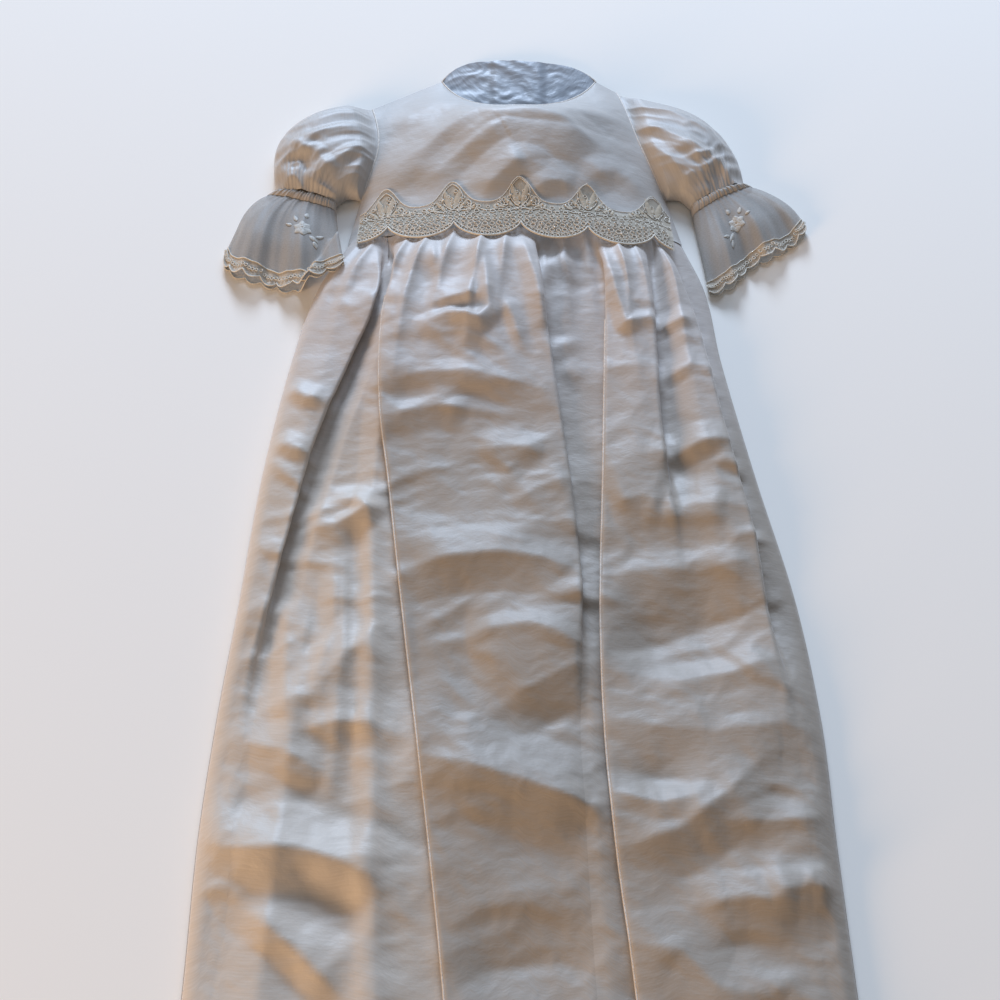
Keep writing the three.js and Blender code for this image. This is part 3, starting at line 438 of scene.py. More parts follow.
# %% Path through a long fold
TURN_STEPS, LAP_STEPS, EDGE_STEPS = 5, 3, 8


def fold_path(over, rows, down):
    """x and level of the points through one fold, at each distance below the waist."""
    rows = np.array(rows, float)
    read = lambda k: column(rows[:, 0], rows[:, k], down)
    turn = np.pi * np.clip(read(2) * gathers_open(down), 0.02, 1)
    lap = np.maximum(0.5, read(3))
    chord = 2 * np.pi * FOLD_RADIUS / turn * np.sin(turn / (2 * TURN_STEPS))
    down_turn = [(turn * (k + 0.5) / TURN_STEPS, chord) for k in range(TURN_STEPS)]
    steps = down_turn + [(turn, lap / LAP_STEPS)] * LAP_STEPS
    steps += [(turn - heading, length) for heading, length in down_turn]
    x, z = [np.zeros_like(down)], [np.zeros_like(down)]
    for heading, length in steps:
        x.append(x[-1] + length * np.cos(heading))
        z.append(z[-1] - length * np.sin(heading))
    sign = 1 if over == "left" else -1
    xs = read(1)[:, None] + sign * (np.stack(x, 1) - FOLD_RADIUS)
    level = np.stack(z, 1) - z[-1][:, None] / 2
    if sign < 0:
        xs, level = xs[:, ::-1], level[:, ::-1]
    return xs, level


# %% [markdown]
# The front of the skirt is one grid from side to side: a rounded edge, then panels of cloth with a fold
# between each two. The panels that are wide in the photograph have the most columns, and rows lie closest
# where it shows the cloth. The same height functions lift every point.

# %% Front of the skirt
PANEL_STEPS = [12, 46, 64, 14, 24, 26, 12]
SHOWN_LENGTH = 550
SKIRT_ROWS = np.concatenate([np.linspace(0.15, SHOWN_LENGTH, 285, endpoint=False),
                             np.linspace(SHOWN_LENGTH, SKIRT_LENGTH, 26)])


def skirt_sheet(down):
    """x, level over the middle, and share of the side edge's rounding, for every point."""
    left, right = edges(down)
    angle = np.linspace(0, np.pi / 2, EDGE_STEPS + 1)
    away = HALF_WALL + EDGE_ROUND * (1 - np.cos(angle))
    paths = [fold_path(over, rows, down) for over, rows in FOLDS]
    left_level, right_level = paths[0][1][:, :1], paths[-1][1][:, -1:]
    round_share = np.sin(angle)[None] * np.ones_like(left)[:, None]
    xs = [left[:, None] + away[None]]
    levels = [left_level * np.ones_like(xs[0])]
    shares = [round_share]
    ends = paths + [(right[:, None] - away[None, ::-1], right_level * np.ones_like(xs[0]))]
    for steps, (path_x, path_level) in zip(PANEL_STEPS, ends):
        t = (np.arange(1, steps + 1) / (steps + 1))[None]
        from_x, from_level = xs[-1][:, -1:], levels[-1][:, -1:]
        xs += [lerp(from_x, path_x[:, :1], t), path_x]
        levels += [lerp(from_level, path_level[:, :1], smooth(0, 0.7, t)), path_level]
        shares += [np.ones((len(down), steps)), np.ones_like(path_x)]
    shares[-1] = round_share[:, ::-1]
    return np.concatenate(xs, 1), np.concatenate(levels, 1), np.concatenate(shares, 1)


def skirt_front_grid(down):
    x, level, share = skirt_sheet(down)
    far = down[:, None] * np.ones_like(x)
    left, right = edges(down)
    inside = np.minimum(x - left[:, None], right[:, None] - x)
    level = level + skirt_creases(x, far) * smooth(0, 16, inside)
    top = skirt_middle(x, far) + level
    z = 0.8 + (top - 0.8) * share
    return np.stack([x, -far, z], 2)


skirt_front = cloth("skirt front", skirt_front_grid(SKIRT_ROWS), up=-1)

# %% [markdown]
# Light is painted into the silk's colour here. In the photograph each panel between the long folds has its
# own tone, and the gathered top and the bodice are cooler. Noise couldn't follow the folds, so a vertex
# attribute holds
# a share of red, green and blue for each point, set for each panel, and the material adds that share to its
# colour:
# painted light, lighter on the two left panels, darker on the rest, and cooler and lighter just below the
# waist.

# %% Painted light on the silk
# Painted light: a cool share below the waist and on the bodice and sleeves, and a lighter or darker share for
# each panel
COOL_PAINTED_LIGHT, BODICE_PAINTED_LIGHT = (0.18, 0.22, 0.32), (0.03, 0.1, 0.2)
PANEL_PAINTED_LIGHT = [0.28, 0.27, -0.16, -0.05, -0.12, -0.12, -0.14]
COOL_TO, PANEL_FROM = 70, 210


def set_painted_light(piece, values):
    """Stores painted light as red, green and blue shares, one set for all points or one for each."""
    layer = piece.data.attributes.new("painted_light", "FLOAT_VECTOR", "POINT")
    count = len(piece.data.vertices)
    layer.data.foreach_set("vector", (np.ones((count, 3)) * values).astype(np.float32).ravel())


def skirt_painted_light(rows):
    """Painted light for each point of the front skirt; the painted tone changes in the middle of a fold."""
    numbers = [0] * (EDGE_STEPS + 1)
    across = 2 * TURN_STEPS + LAP_STEPS + 1
    for k, steps in enumerate(PANEL_STEPS[:-1]):
        numbers += [k] * (steps + across // 2) + [k + 1] * (across - across // 2)
    numbers += [len(FOLDS)] * (PANEL_STEPS[-1] + EDGE_STEPS + 1)
    below = np.array(PANEL_PAINTED_LIGHT)[numbers]
    fade = smooth(COOL_TO, PANEL_FROM, rows)[:, None, None]
    return lerp(np.array(COOL_PAINTED_LIGHT)[None, None], below[None, :, None], fade)


# Painted light on the front skirt
shares = skirt_painted_light(SKIRT_ROWS)
set_painted_light(skirt_front, shares.reshape(-1, 3))
print("lie of the threads:", shares.min().round(2), "to", shares.max().round(2))

# %% [markdown]
# Two of the folds were pressed with an iron, and their edges show as fine light lines down to the hem. A
# line that thin is easier to see as a cord of its own than as a sharp turn of the sheet, so its path is
# read here from the same fold, and the cord is swept along it further on.

# %% Pressed edges of the pleats
LEFT_PLEAT, RIGHT_PLEAT = (1, 64), (3, 80)


def pressed_edge(fold, low, high):
    """The outermost line of one long fold, in mm."""
    over, rows = FOLDS[fold]
    down = np.linspace(low, high, 150)
    xs, level = fold_path(over, rows, down)
    pick = np.argmin(xs, 1) if over == "right" else np.argmax(xs, 1)
    each = np.arange(len(down))
    x, level = xs[each, pick], level[each, pick]
    z = skirt_middle(x, down) + level + skirt_creases(x, down)
    return np.stack([x, -down, z + 0.9], 1)


pressed = [pressed_edge(fold, start, SKIRT_LENGTH - 0.5) for fold, start in (LEFT_PLEAT, RIGHT_PLEAT)]
print("pressed edges:", [len(path) for path in pressed], "points")

# %% [markdown]
# The back of the skirt is the cloth that all the rest lies on. Nothing of it shows but its side edges, so
# it is flat, with a slight wave and a lip at the sides. A simulation would leave it lying in the same way.

# %% Back of the skirt
def skirt_back_grid():
    down = np.linspace(0.15, SKIRT_LENGTH, 140)
    left, right = edges(down)
    t = np.linspace(0, 1, 61)[None]
    x = lerp(left[:, None], right[:, None], t)
    z = 0.35 + 0.45 * np.abs(2 * t - 1) ** 12 + 0.12 * np.sin(x / 9 + 2 * np.sin(down[:, None] / 31))
    return np.stack([x, -down[:, None] * np.ones_like(x), z], 2)


skirt_back = cloth("skirt back", skirt_back_grid())

# %% [markdown]
# The bodice is one patch filled between four edge curves: the waist seam, the two sides with their
# armholes, and the shoulders with the neck. A Coons patch is the simplest surface that meets all four. The
# sleeves and ruffles are patches of the same kind.

# %% Curves and patches
def plan_curve(points):
    """A smooth curve through points, read by its share of length."""
    points = np.array(points, float)
    count = len(points) - 1
    # Painted cool light on the bodice and the sleeves
    t = np.linspace(0, count, 40 * count + 1)
    i = np.minimum(t.astype(int), count - 1)
    w = (t - i)[:, None]
    p0, p1 = points[np.maximum(i - 1, 0)], points[i]
    p2, p3 = points[i + 1], points[np.minimum(i + 2, count)]
    v0, v1 = (p2 - p0) / 2, (p3 - p1) / 2
    path = (2 * p1 - 2 * p2 + v0 + v1) * w ** 3 + (-3 * p1 + 3 * p2 - 2 * v0 - v1) * w ** 2 + v0 * w + p1
    length = np.concatenate([[0], np.cumsum(np.linalg.norm(np.diff(path, axis=0), axis=1))])
    share = length / length[-1]
    return lambda s: np.stack([np.interp(s, share, path[:, k]) for k in range(path.shape[1])], -1)


def patch(bottom, top, left, right):
    """A surface between four curves, as a function of the shares across and up it."""
    corner = [bottom(0.0), bottom(1.0), top(0.0), top(1.0)]

    def at(a, b):
        a, b = np.broadcast_arrays(np.asarray(a, float), np.asarray(b, float))
        wa, wb = a[..., None], b[..., None]
        point = bottom(a) * (1 - wb) + top(a) * wb + left(b) * (1 - wa) + right(b) * wa
        point = point - corner[0] * (1 - wa) * (1 - wb) - corner[1] * wa * (1 - wb)
        return point - corner[2] * (1 - wa) * wb - corner[3] * wa * wb
    return at


# %% [markdown]
# These curves are the cut edges of the front bodice. The left and right armholes differ, because the gown
# lies a little turned. The neck edge stands up off the back, highest at its middle.

# %% Outline of the bodice
WAIST_Y = 0.15
ARMHOLE_LEFT = [(-116, 44), (-108, 68), (-104, 86), (-105, 108), (-111, 138)]
ARMHOLE_RIGHT = [(114, 44), (103, 71), (94, 97), (87, 128), (81, 156)]
NECK_LEFT, NECK_RIGHT = (-57.0, 168.0), (65.0, 168.0)
NECK_FRONT_Y, NECK_HEIGHT, NECK_BACK_RISE = 117.0, 27.0, 20.0
ARMPIT, NECK_FROM, NECK_TO = 0.28, 0.25, 0.79
ARMHOLE_LIFT = 11.0
SEAT = LAYER + HALF_WALL


def side_curve(waist_x, armhole):
    """The side seam up to the armpit, then the armhole."""
    curve = plan_curve(armhole)

    def at(b):
        b = np.asarray(b, float)
        low = np.clip(b / ARMPIT, 0, 1)
        t = np.clip((b - ARMPIT) / (1 - ARMPIT), 0, 1)
        hole = curve(t)
        x = np.where(b < ARMPIT, lerp(waist_x, armhole[0][0], low), hole[..., 0])
        y = np.where(b < ARMPIT, lerp(WAIST_Y, armhole[0][1], low), hole[..., 1])
        return np.stack([x, y, SEAT + ARMHOLE_LIFT * arch(t) ** 0.8], -1)
    return at


def front_top(a):
    """The left shoulder, the neck edge and the right shoulder, by the share across."""
    a = np.asarray(a, float)
    t = np.clip((a - NECK_FROM) / (NECK_TO - NECK_FROM), 0, 1)
    x = lerp(NECK_LEFT[0], NECK_RIGHT[0], t)
    share = np.minimum(1, np.abs(x / np.where(x < 0, NECK_LEFT[0], NECK_RIGHT[0])))
    y = NECK_FRONT_Y + (NECK_LEFT[1] - NECK_FRONT_Y) * share ** 2.4
    z = SEAT + (NECK_HEIGHT - LAYER) * (1 - share ** 2.2) ** 1.4
    on_left, on_right = a < NECK_FROM, a > NECK_TO
    left_t, right_t = np.clip(a / NECK_FROM, 0, 1), np.clip((a - NECK_TO) / (1 - NECK_TO), 0, 1)
    tip_left, tip_right = ARMHOLE_LEFT[-1], ARMHOLE_RIGHT[-1]
    x = np.where(on_left, lerp(tip_left[0], NECK_LEFT[0], left_t), x)
    y = np.where(on_left, lerp(tip_left[1], NECK_LEFT[1], left_t), y)
    x = np.where(on_right, lerp(NECK_RIGHT[0], tip_right[0], right_t), x)
    y = np.where(on_right, lerp(NECK_RIGHT[1], tip_right[1], right_t), y)
    return np.stack([x, y, np.where(on_left | on_right, SEAT, z)], -1)


def rounded_crown(x, down):
    left, right = edges(down)
    t = np.clip(np.minimum(x - left, right - x) / EDGE_ROUND, 0, 1)
    return LAYER + (crown(x, down) - LAYER) * np.sqrt(1 - (1 - t) ** 2)


def front_waist(a):
    x = lerp(-HALF_WAIST, HALF_WAIST, np.asarray(a, float))
    return np.stack([x, np.full_like(x, WAIST_Y), np.maximum(SEAT, rounded_crown(x, 0.0))], -1)


side_left, side_right = side_curve(-HALF_WAIST, ARMHOLE_LEFT), side_curve(HALF_WAIST, ARMHOLE_RIGHT)
coons = patch(front_waist, front_top, side_left, side_right)
print("waist to neck at the middle:", (front_top(0.5)[1] - WAIST_Y).round(1), "mm")

# %% [markdown]
# A Coons patch carries each corner of its edges straight across, so the two ends of the neck would rule
# lines down the breast. Cloth doesn't do that: it spreads a bend over its neighbours. So the patch is made
# a grid, its inner points settle between their neighbours, and the rest of the script reads that grid.

# %% Settled front of the bodice
FRONT_A = np.union1d(np.linspace(0, 1, 145), [NECK_FROM, NECK_TO])
FRONT_B = np.linspace(0, 1, 101)
SETTLE_ROUNDS = 260


def relaxed(grid, rounds):
    """Lets a grid settle as cloth does: each inner point moves to the middle of its neighbours."""
    for _ in range(rounds):
        grid[1:-1, 1:-1] = (grid[:-2, 1:-1] + grid[2:, 1:-1] + grid[1:-1, :-2] + grid[1:-1, 2:]) / 4
    return grid


FRONT = relaxed(coons(FRONT_A[None], FRONT_B[:, None]), SETTLE_ROUNDS)
print("front of the bodice:", FRONT.shape[0], "rows,", FRONT.shape[1], "columns")


def front_patch(a, b):
    """A point of the settled grid, by the shares across and up it."""
    a, b = np.broadcast_arrays(np.asarray(a, float), np.asarray(b, float))
    i = np.clip(np.searchsorted(FRONT_A, a, side="right") - 1, 0, len(FRONT_A) - 2)
    j = np.clip(np.searchsorted(FRONT_B, b, side="right") - 1, 0, len(FRONT_B) - 2)
    fa = ((a - FRONT_A[i]) / (FRONT_A[i + 1] - FRONT_A[i]))[..., None]
    fb = ((b - FRONT_B[j]) / (FRONT_B[j + 1] - FRONT_B[j]))[..., None]
    return lerp(lerp(FRONT[j, i], FRONT[j, i + 1], fa), lerp(FRONT[j + 1, i], FRONT[j + 1, i + 1], fa), fb)


# %% [markdown]
# Soft drapes arch round the breast below the neck, and a few streaks run up from the lace. They are creases
# again, each with its height, its widths and how round its crest is, and they fade out before the seams.

# %% Drapes of the bodice
BODICE_CREASES = [
    ("neck drape",
     [(-88, 65), (-71, 76), (-53, 92), (-30, 110), (-9, 116), (12, 113), (39, 112), (65, 113), (83, 110)],
     5.6, 15, 9, 2.5),
    ("breast drape",
     [(-30, 89), (-15, 101), (0, 105), (18, 103), (35, 97), (51, 86), (64, 78)], 5.2, 8, 15, 2.5),
    ("streak", [(-52, 60), (-38, 73), (-22, 84), (-6, 92)], 2.0, 6, 6, 2),
    ("low left drape", [(-26, 30), (-18, 39), (-9, 47), (0, 54), (9, 58)], 3.0, 11, 6, 2.0),
    ("low middle drape", [(13, 32), (22, 39), (34, 42), (45, 39)], 2.6, 9, 5, 1.5),
    ("low right drape", [(54, 47), (64, 55), (75, 58), (86, 54), (100, 39)], 2.6, 7, 7, 2.5),
    ("left swell", [(-102, 39), (-91, 54), (-75, 61), (-58, 54), (-52, 39)], 2.8, 12, 8, 4),
    ("left shoulder", [(-95, 110), (-76, 119), (-61, 129), (-44, 133)], 2.8, 10, 7, 3),
    ("left shoulder second", [(-106, 121), (-90, 111), (-76, 108)], 1.4, 7, 6, 3),
    ("right shoulder", [(61, 143), (74, 135), (83, 122)], 1.6, 8, 6, 3),
]


def bodice_point(a, b):
    """A point of the draped bodice, by the shares across and up it."""
    point = front_patch(a, b)
    x, y = point[..., 0], point[..., 1]
    inside = arch(a) ** 0.5 * arch(b) ** 0.6
    lift = np.zeros(x.shape)
    for _, line, rise, left_hand, right_hand, crest in BODICE_CREASES:
        lift += crease(x, -y, [(p[0], -p[1]) for p in line], rise, left_hand, right_hand, crest)
    small = 0.8 * crumple(x, y, 60, 30, 51) + 0.2 * crumple(x, y, 21, 12, 61)
    point[..., 2] += inside * (1.0 + 1.7 * lift + small)
    return point


bodice_front = cloth("bodice front", bodice_point(FRONT_A[None], FRONT_B[:, None]))

# %% [markdown]
# The back of the bodice is in two halves that lap at the centre, as a gown that opens at the back has. Each
# is a plain grid between the centre and the armhole, and the right half climbs over the left one at the
# lap.

# %% Back of the bodice
LAP_WIDTH, LAP_CLIMB = 16.0, 6


def back_top(x):
    """The shoulders and the neck of the back."""
    tip_left, tip_right = ARMHOLE_LEFT[-1], ARMHOLE_RIGHT[-1]
    t = np.clip((x - NECK_LEFT[0]) / (NECK_RIGHT[0] - NECK_LEFT[0]), 0, 1)
    neck = NECK_LEFT[1] + NECK_BACK_RISE * (1 - np.abs(2 * t - 1) ** 5) * (1.1 - 0.3 * t)
    left = np.interp(x, [tip_left[0], NECK_LEFT[0]], [tip_left[1], NECK_LEFT[1]])
    right = np.interp(x, [NECK_RIGHT[0], tip_right[0]], [NECK_RIGHT[1], tip_right[1]])
    return np.where(x < NECK_LEFT[0], left, np.where(x > NECK_RIGHT[0], right, neck))


def back_half(inner, outer_curve, height):
    b = np.linspace(0, 1, 60)
    outer = outer_curve(b)
    t = np.linspace(0, 1, 44)[None]
    x = lerp(inner, outer[:, :1], t)
    y = lerp(lerp(WAIST_Y, back_top(x), b[:, None]), outer[:, 1:2], t ** 3)
    return np.stack([x, y, height(x) + 0 * y], 2)


def over_the_lap(x):
    return HALF_WALL + 1.3 * (1 - smooth(half, half + LAP_CLIMB, x))


half = LAP_WIDTH / 2
back_left = cloth("bodice back left", back_half(half, side_left, lambda x: HALF_WALL + 0 * x))
back_right = cloth("bodice back right", back_half(-half, side_right, over_the_lap), up=-1)

# %% [markdown]
# Of the lining only the satin of the back shows, in the neck. It lies loose and crumpled over the lap.
# Facets of two sizes make it break the light, and it is kept just inside the neck edge.

# %% Satin lining
def lining_grid():
    t = np.linspace(0, 1, 96)[None]
    r = np.linspace(0, 1, 60)[:, None]
    x = lerp(NECK_LEFT[0] + 1, NECK_RIGHT[0] - 1, t) + 0 * r
    low = NECK_FRONT_Y - 16 + 52 * np.abs(2 * t - 1) ** 3
    y = lerp(low, back_top(x) - 1.2, r)
    over_lap = 1.5 * (1 - smooth(16, 24, np.abs(x - 3)))
    facets = 1.3 + 0.9 * crumple(x, y, 31, 21, 71) + 0.4 * crumple(x, y, 12, 9, 81)
    z = 2.4 + over_lap + arch(t) ** 0.5 * (np.maximum(0, facets) + 2 * r ** 2)
    return np.stack([x, y, np.maximum(z, 2.2)], 2)


lining_back = cloth("satin lining", lining_grid())

# %% [markdown]
# A puffed sleeve is a tube that is gathered at both ends, and its ruffle is a tube of organza that flares.
# Here both lie on the surface, so they are flat below and domed above. Their outlines differ from left to
# right, as the sleeves fell, so each side has its own named curves, and one set of functions builds both.

# %% Outlines of the sleeves
SLEEVES = {
    "left": dict(
        armhole=ARMHOLE_LEFT, out=-1, folds=11, on_skirt=True, puff=25, band=12, ruffle=15,
        band_inner=(-134, 38), band_outer=(-180, 49),
        puff_outer=[(-132, 136), (-151, 129), (-166, 118), (-177, 104), (-183, 88), (-183, 68)],
        puff_inner=[(-126, 45)], ruffle_outer=[(-193, 42), (-202, 29), (-208, 10)],
        ruffle_inner=[(-133, 24), (-129, 0)],
        edge=[(-123, -32), (-143, -41), (-156, -42), (-171, -41), (-184, -36), (-198, -31), (-210, -24),
              (-215, -12)],
        start=0.15),
    "right": dict(
        armhole=ARMHOLE_RIGHT, out=1, folds=8, on_skirt=False, puff=23, band=12, ruffle=14,
        band_inner=(132, 35), band_outer=(174, 56),
        puff_outer=[(98, 144), (124, 134), (142, 123), (159, 104), (170, 80)],
        puff_inner=[(124, 44)], ruffle_outer=[(186, 52), (199, 43), (210, 31)],
        ruffle_inner=[(135, 6), (138, -20)],
        edge=[(141, -46), (152, -42), (162, -34), (172, -22), (185, -14), (198, -6), (210, 4), (218, 16)],
        start=0.55),
}
EDGE_LIFT = 2.2
LACE_FROM = 0.86
SCALLOPS = 8
SEAM_GAP = 1.2


def sleeve_plan(s):
    """The puff and the ruffle of one side as flat patches; a share of a tube's width comes first."""
    flat = lambda p: np.concatenate([p, np.zeros(p.shape[:-1] + (1,))], -1)
    hole = plan_curve(s["armhole"])
    start, end = np.array(s["band_inner"], float), np.array(s["band_outer"], float)
    line = (end - start) / np.linalg.norm(end - start)
    outward = np.array([line[1], -line[0]]) * s["out"]

    def band(w, away):
        w = np.asarray(w, float)[..., None]
        return start + (end - start) * w + outward * away

    def hole_at(w):
        w = np.asarray(w, float)
        step = 1e-3
        tangent = hole(np.clip(w + step, 0, 1)) - hole(np.clip(w - step, 0, 1))
        tangent = tangent / np.linalg.norm(tangent, axis=-1, keepdims=True)
        return hole(w) + np.stack([-tangent[..., 1], tangent[..., 0]], -1) * (s["out"] * SEAM_GAP)
    edge = plan_curve(s["edge"])
    puff_in = plan_curve([hole_at(0.0), *s["puff_inner"], band(0.0, -0.05)])
    puff_out = plan_curve([hole_at(1.0), *s["puff_outer"], band(1.0, -0.05)])
    ruffle_in = plan_curve([band(0.0, 0.05), *s["ruffle_inner"], edge(0.0)])
    ruffle_out = plan_curve([band(1.0, 0.05), *s["ruffle_outer"], edge(1.0)])
    puff = patch(lambda w: flat(hole_at(w)), lambda w: flat(band(w, -0.05)),
                 lambda t: flat(puff_in(t)), lambda t: flat(puff_out(t)))
    ruffle = patch(lambda w: flat(band(w, 0.05)), lambda w: flat(edge(w)),
                   lambda t: flat(ruffle_in(t)), lambda t: flat(ruffle_out(t)))
    return puff, ruffle


# %% [markdown]
# A tube that lies flat is one grid that goes over the top and back below, closed into a ring. The upper
# wall is a dome, the lower one lies on what is under it, and the two meet in a soft edge.

# %% Cross section of a tube
def ring(top, bottom):
    """Shares across a flattened tube, closer together at its two edges: over the top, then back below."""
    ease = lambda n: (1 - np.cos(np.linspace(0, np.pi, n + 1))) / 2
    over, under = ease(top), ease(bottom)[::-1][1:-1]
    return np.concatenate([over, under]), np.concatenate([np.ones(len(over)), np.zeros(len(under))])


def dome(w):
    """Half an ellipse across the tube: 0 at its edges and 1 in its middle."""
    return 2 * np.sqrt(np.maximum(0, w * (1 - w)))


def tube_height(w, over, top, floor):
    edge = floor + HALF_WALL + EDGE_LIFT
    upper = edge + np.maximum(top - edge, 4) * dome(w) ** 0.7
    lower = floor + HALF_WALL + EDGE_LIFT * np.maximum(0, 1 - dome(w) / 0.35) ** 2
    return np.where(over > 0, upper, lower)


# %% [markdown]
# The gathers of a puff start at the armhole, each at its own place, and die out over the puff. Near the
# band they are small and close. The largest creases are listed, and seeded short ones lie between
# them.

# %% Puffs
def gathers(w, s, seed, count):
    """Height of sharp gathers across a tube: each has its own place, length and bend."""
    rng = np.random.default_rng(seed)
    out = 0
    for k in range(count):
        place = (k + 0.5 + rng.uniform(-0.3, 0.3)) / count
        bend = rng.uniform(-0.06, 0.06)
        width = rng.uniform(0.22, 0.42) / count
        reach = rng.uniform(0.3, 0.75)
        middle = 0.5 + (place - 0.5) * (1 + 0.25 * s) + bend * s
        ridge = np.exp(-np.abs(w - middle) / (width * (1 + 1.5 * s)))
        out = out + rng.uniform(0.6, 1.3) * ridge * np.exp(-((s / reach) ** 2))
    return out


PUFF_CREASES = {
    "left": [
        ("long gather", [(-108, 104), (-133, 98), (-158, 88), (-176, 80)], 2.6, 3, 4),
        ("second long gather", [(-105, 88), (-122, 76), (-138, 60), (-158, 47)], 3.0, 3, 4),
        ("third long gather", [(-104, 80), (-115, 66), (-126, 48)], 2.6, 3, 3),
        ("top gather", [(-109, 118), (-135, 116), (-160, 104)], 2.0, 4, 5),
        ("arch of the puff", [(-178, 70), (-164, 80), (-148, 72), (-140, 58)], 2.4, 4, 4),
        ("dent", [(-172, 62), (-160, 66), (-152, 58)], -2.0, 4, 4),
    ],
    "right": [
        ("long gather", [(90, 112), (125, 88), (154, 66), (168, 50)], 3.0, 4, 3),
        ("second long gather", [(95, 92), (116, 70), (134, 44)], 2.8, 4, 3),
        ("top gather", [(86, 132), (116, 122), (146, 100), (164, 78)], 2.0, 4, 4),
        ("middle gather", [(110, 92), (134, 76), (150, 58)], 1.8, 3, 3),
    ],
}


def puff_grid(side):
    s = SLEEVES[side]
    plan, _ = sleeve_plan(s)
    w, over = ring(120, 30)
    t = np.linspace(0, 1, 64)[:, None]
    point = plan(w[None], t)
    swell = arch(t * 0.92 + 0.05) ** 0.8
    ends = lerp(SEAT + ARMHOLE_LIFT, s["band"], t)
    top = ends + (s["puff"] - ends) * swell
    z = tube_height(w[None], over[None], top, 0.0)
    mouth = SEAT + ARMHOLE_LIFT * arch(w[None]) ** 0.8 - HALF_WALL
    z = np.where(over[None] > 0, lerp(mouth, z, smooth(0, 0.16, t)), z)
    fine = gathers(w[None], t, 31 + s["out"], s["folds"]) * 2.0
    fine = fine + gathers(1 - w[None], 1 - t, 47 + s["out"], 19) * 1.2
    bumps = np.zeros(z.shape)
    x, y = point[..., 0], point[..., 1]
    for _, line, rise, left_hand, right_hand in PUFF_CREASES[side]:
        bumps += crease(x, -y, [(p[0], -p[1]) for p in line], rise, left_hand, right_hand, 0.8)
    middle_x, middle_y = np.array(s["band_inner"]) / 2 + np.array(s["band_outer"]) / 2
    small = small_creases(40, (middle_x - 32, -middle_y - 46), (middle_x + 32, -middle_y + 6), 60 + s["out"])
    lumps = np.zeros(z.shape)
    add_creases(x, -y, small, lumps)
    lumps += 3.4 * crumple(x, y, 21, 13, 91) * smooth(0.3, 0.7, t)
    shape = dome(w[None]) * over[None]
    point[..., 2] = z + shape * (fine - 1.2 + bumps + 0.6 * lumps * smooth(0, 0.5, t)) * smooth(0, 0.1, t)
    return point


sleeve_left = cloth("puffed sleeve left", puff_grid("left"), ring=True)
sleeve_right = cloth("puffed sleeve right", puff_grid("right"), ring=True, up=-1)

# %% [markdown]
# The ruffles are crisp organza. A few wide waves flare towards the edge, and fine gathers run down from the
# band. The left ruffle rests partly on the skirt, so its lower wall climbs onto it. One function gives any
# point of a ruffle, and the lace, the bands and the embroidery use it too.

# %% Ruffles of organza
def rest_height(s, x, y):
    """How high the surface under a ruffle lies: the floor, or the skirt where the ruffle rests on it."""
    left, right = edges(np.clip(-y, 0, SKIRT_LENGTH))
    inside = np.minimum(x - left, right - x)
    lift = (WAIST_SIDE + 10) * smooth(-14, -4, inside)
    return np.where((y > 0.3) | (not s["on_skirt"]), 0, lift)


def ruffle_point(side, w, over, t):
    """A point of a ruffle, by the share across the tube and the share from the band to the edge."""
    s = SLEEVES[side]
    _, plan = sleeve_plan(s)
    point = plan(w, t)
    spread = lerp(s["band"], s["ruffle"], smooth(0, 0.5, t)) - 6.5 * smooth(0.55, 1, t)
    floor = rest_height(s, point[..., 0], point[..., 1])
    z = tube_height(w, over, spread, floor)
    wave = 3.6 * smooth(0.1, 0.8, t) * np.cos(2 * np.pi * (2.5 * w + s["start"]))
    ripple = 0.7 * np.sin(2 * np.pi * (9 * w + 0.4 * t)) * smooth(0, 1, t)
    fine = gathers(w, t * 1.6, 71 + s["out"], 15) * 1.5 + ripple
    point[..., 2] = z + dome(w) * over * (wave + fine - 0.6)
    return point


def scallop_dip(w):
    """How far the lace's edge draws in, as a share of its width: most between two scallops."""
    return 0.35 * (1 - np.abs(np.sin(np.pi * SCALLOPS * w)) ** 0.7)


def ruffle_grid(side, rows, low, high, scalloped):
    w, over = ring(128, 40)
    t = np.linspace(0, 1, rows)[:, None]
    reach = (high - low) * (1 - scallop_dip(w) if scalloped else 1)
    return ruffle_point(side, w[None] + 0 * t, over[None], low + t * reach)


cuff_left = cloth("organza ruffle left", ruffle_grid("left", 40, 0.0, LACE_FROM, False), ring=True)
cuff_right = cloth("organza ruffle right", ruffle_grid("right", 40, 0.0, LACE_FROM, False), ring=True, up=-1)
edging_left = cloth("edging lace left", ruffle_grid("left", 8, LACE_FROM, 1.0, True), ring=True)
edging_right = cloth("edging lace right", ruffle_grid("right", 8, LACE_FROM, 1.0, True), ring=True, up=-1)

# %% [markdown]
# Corded lace is a fine net with thicker cords sewn on it. Its pattern is drawn flat, in millimetres along
# the waist and up from it, and then laid on the cloth below. A Shrinkwrap could do that, but the lace has
# to stand a little clear of the gathers, so its bed is a grid of heights worked out once from the cloth.

# %% The bed of the waist lace
LACE_REACH = 116.0
BED_X = np.linspace(-122, 122, 245)
BED_Y = np.linspace(-24, 52, 77)
SIDE_HEIGHT = 138


def bodice_height(x, y):
    """The bodice's height over a flat place, found by stepping nearer ten times."""
    a, b = (x + HALF_WAIST) / (2 * HALF_WAIST), y / SIDE_HEIGHT
    for _ in range(10):
        p = bodice_point(a, b)
        a = a + (x - p[..., 0]) / (2 * HALF_WAIST)
        b = np.maximum(0, b + (y - p[..., 1]) / SIDE_HEIGHT)
    return bodice_point(a, b)[..., 2]


def lace_bed():
    x, y = np.meshgrid(BED_X, BED_Y)
    over_bodice = bodice_height(np.clip(x, -119, 119), np.maximum(y, 0))
    over_skirt = rounded_crown(x, np.maximum(-y, 0))
    clear = 3.6 * (1 - smooth(2, 24, y))
    return np.where(y > 0, over_bodice, over_skirt) + clear + 1.0


BED = lace_bed()


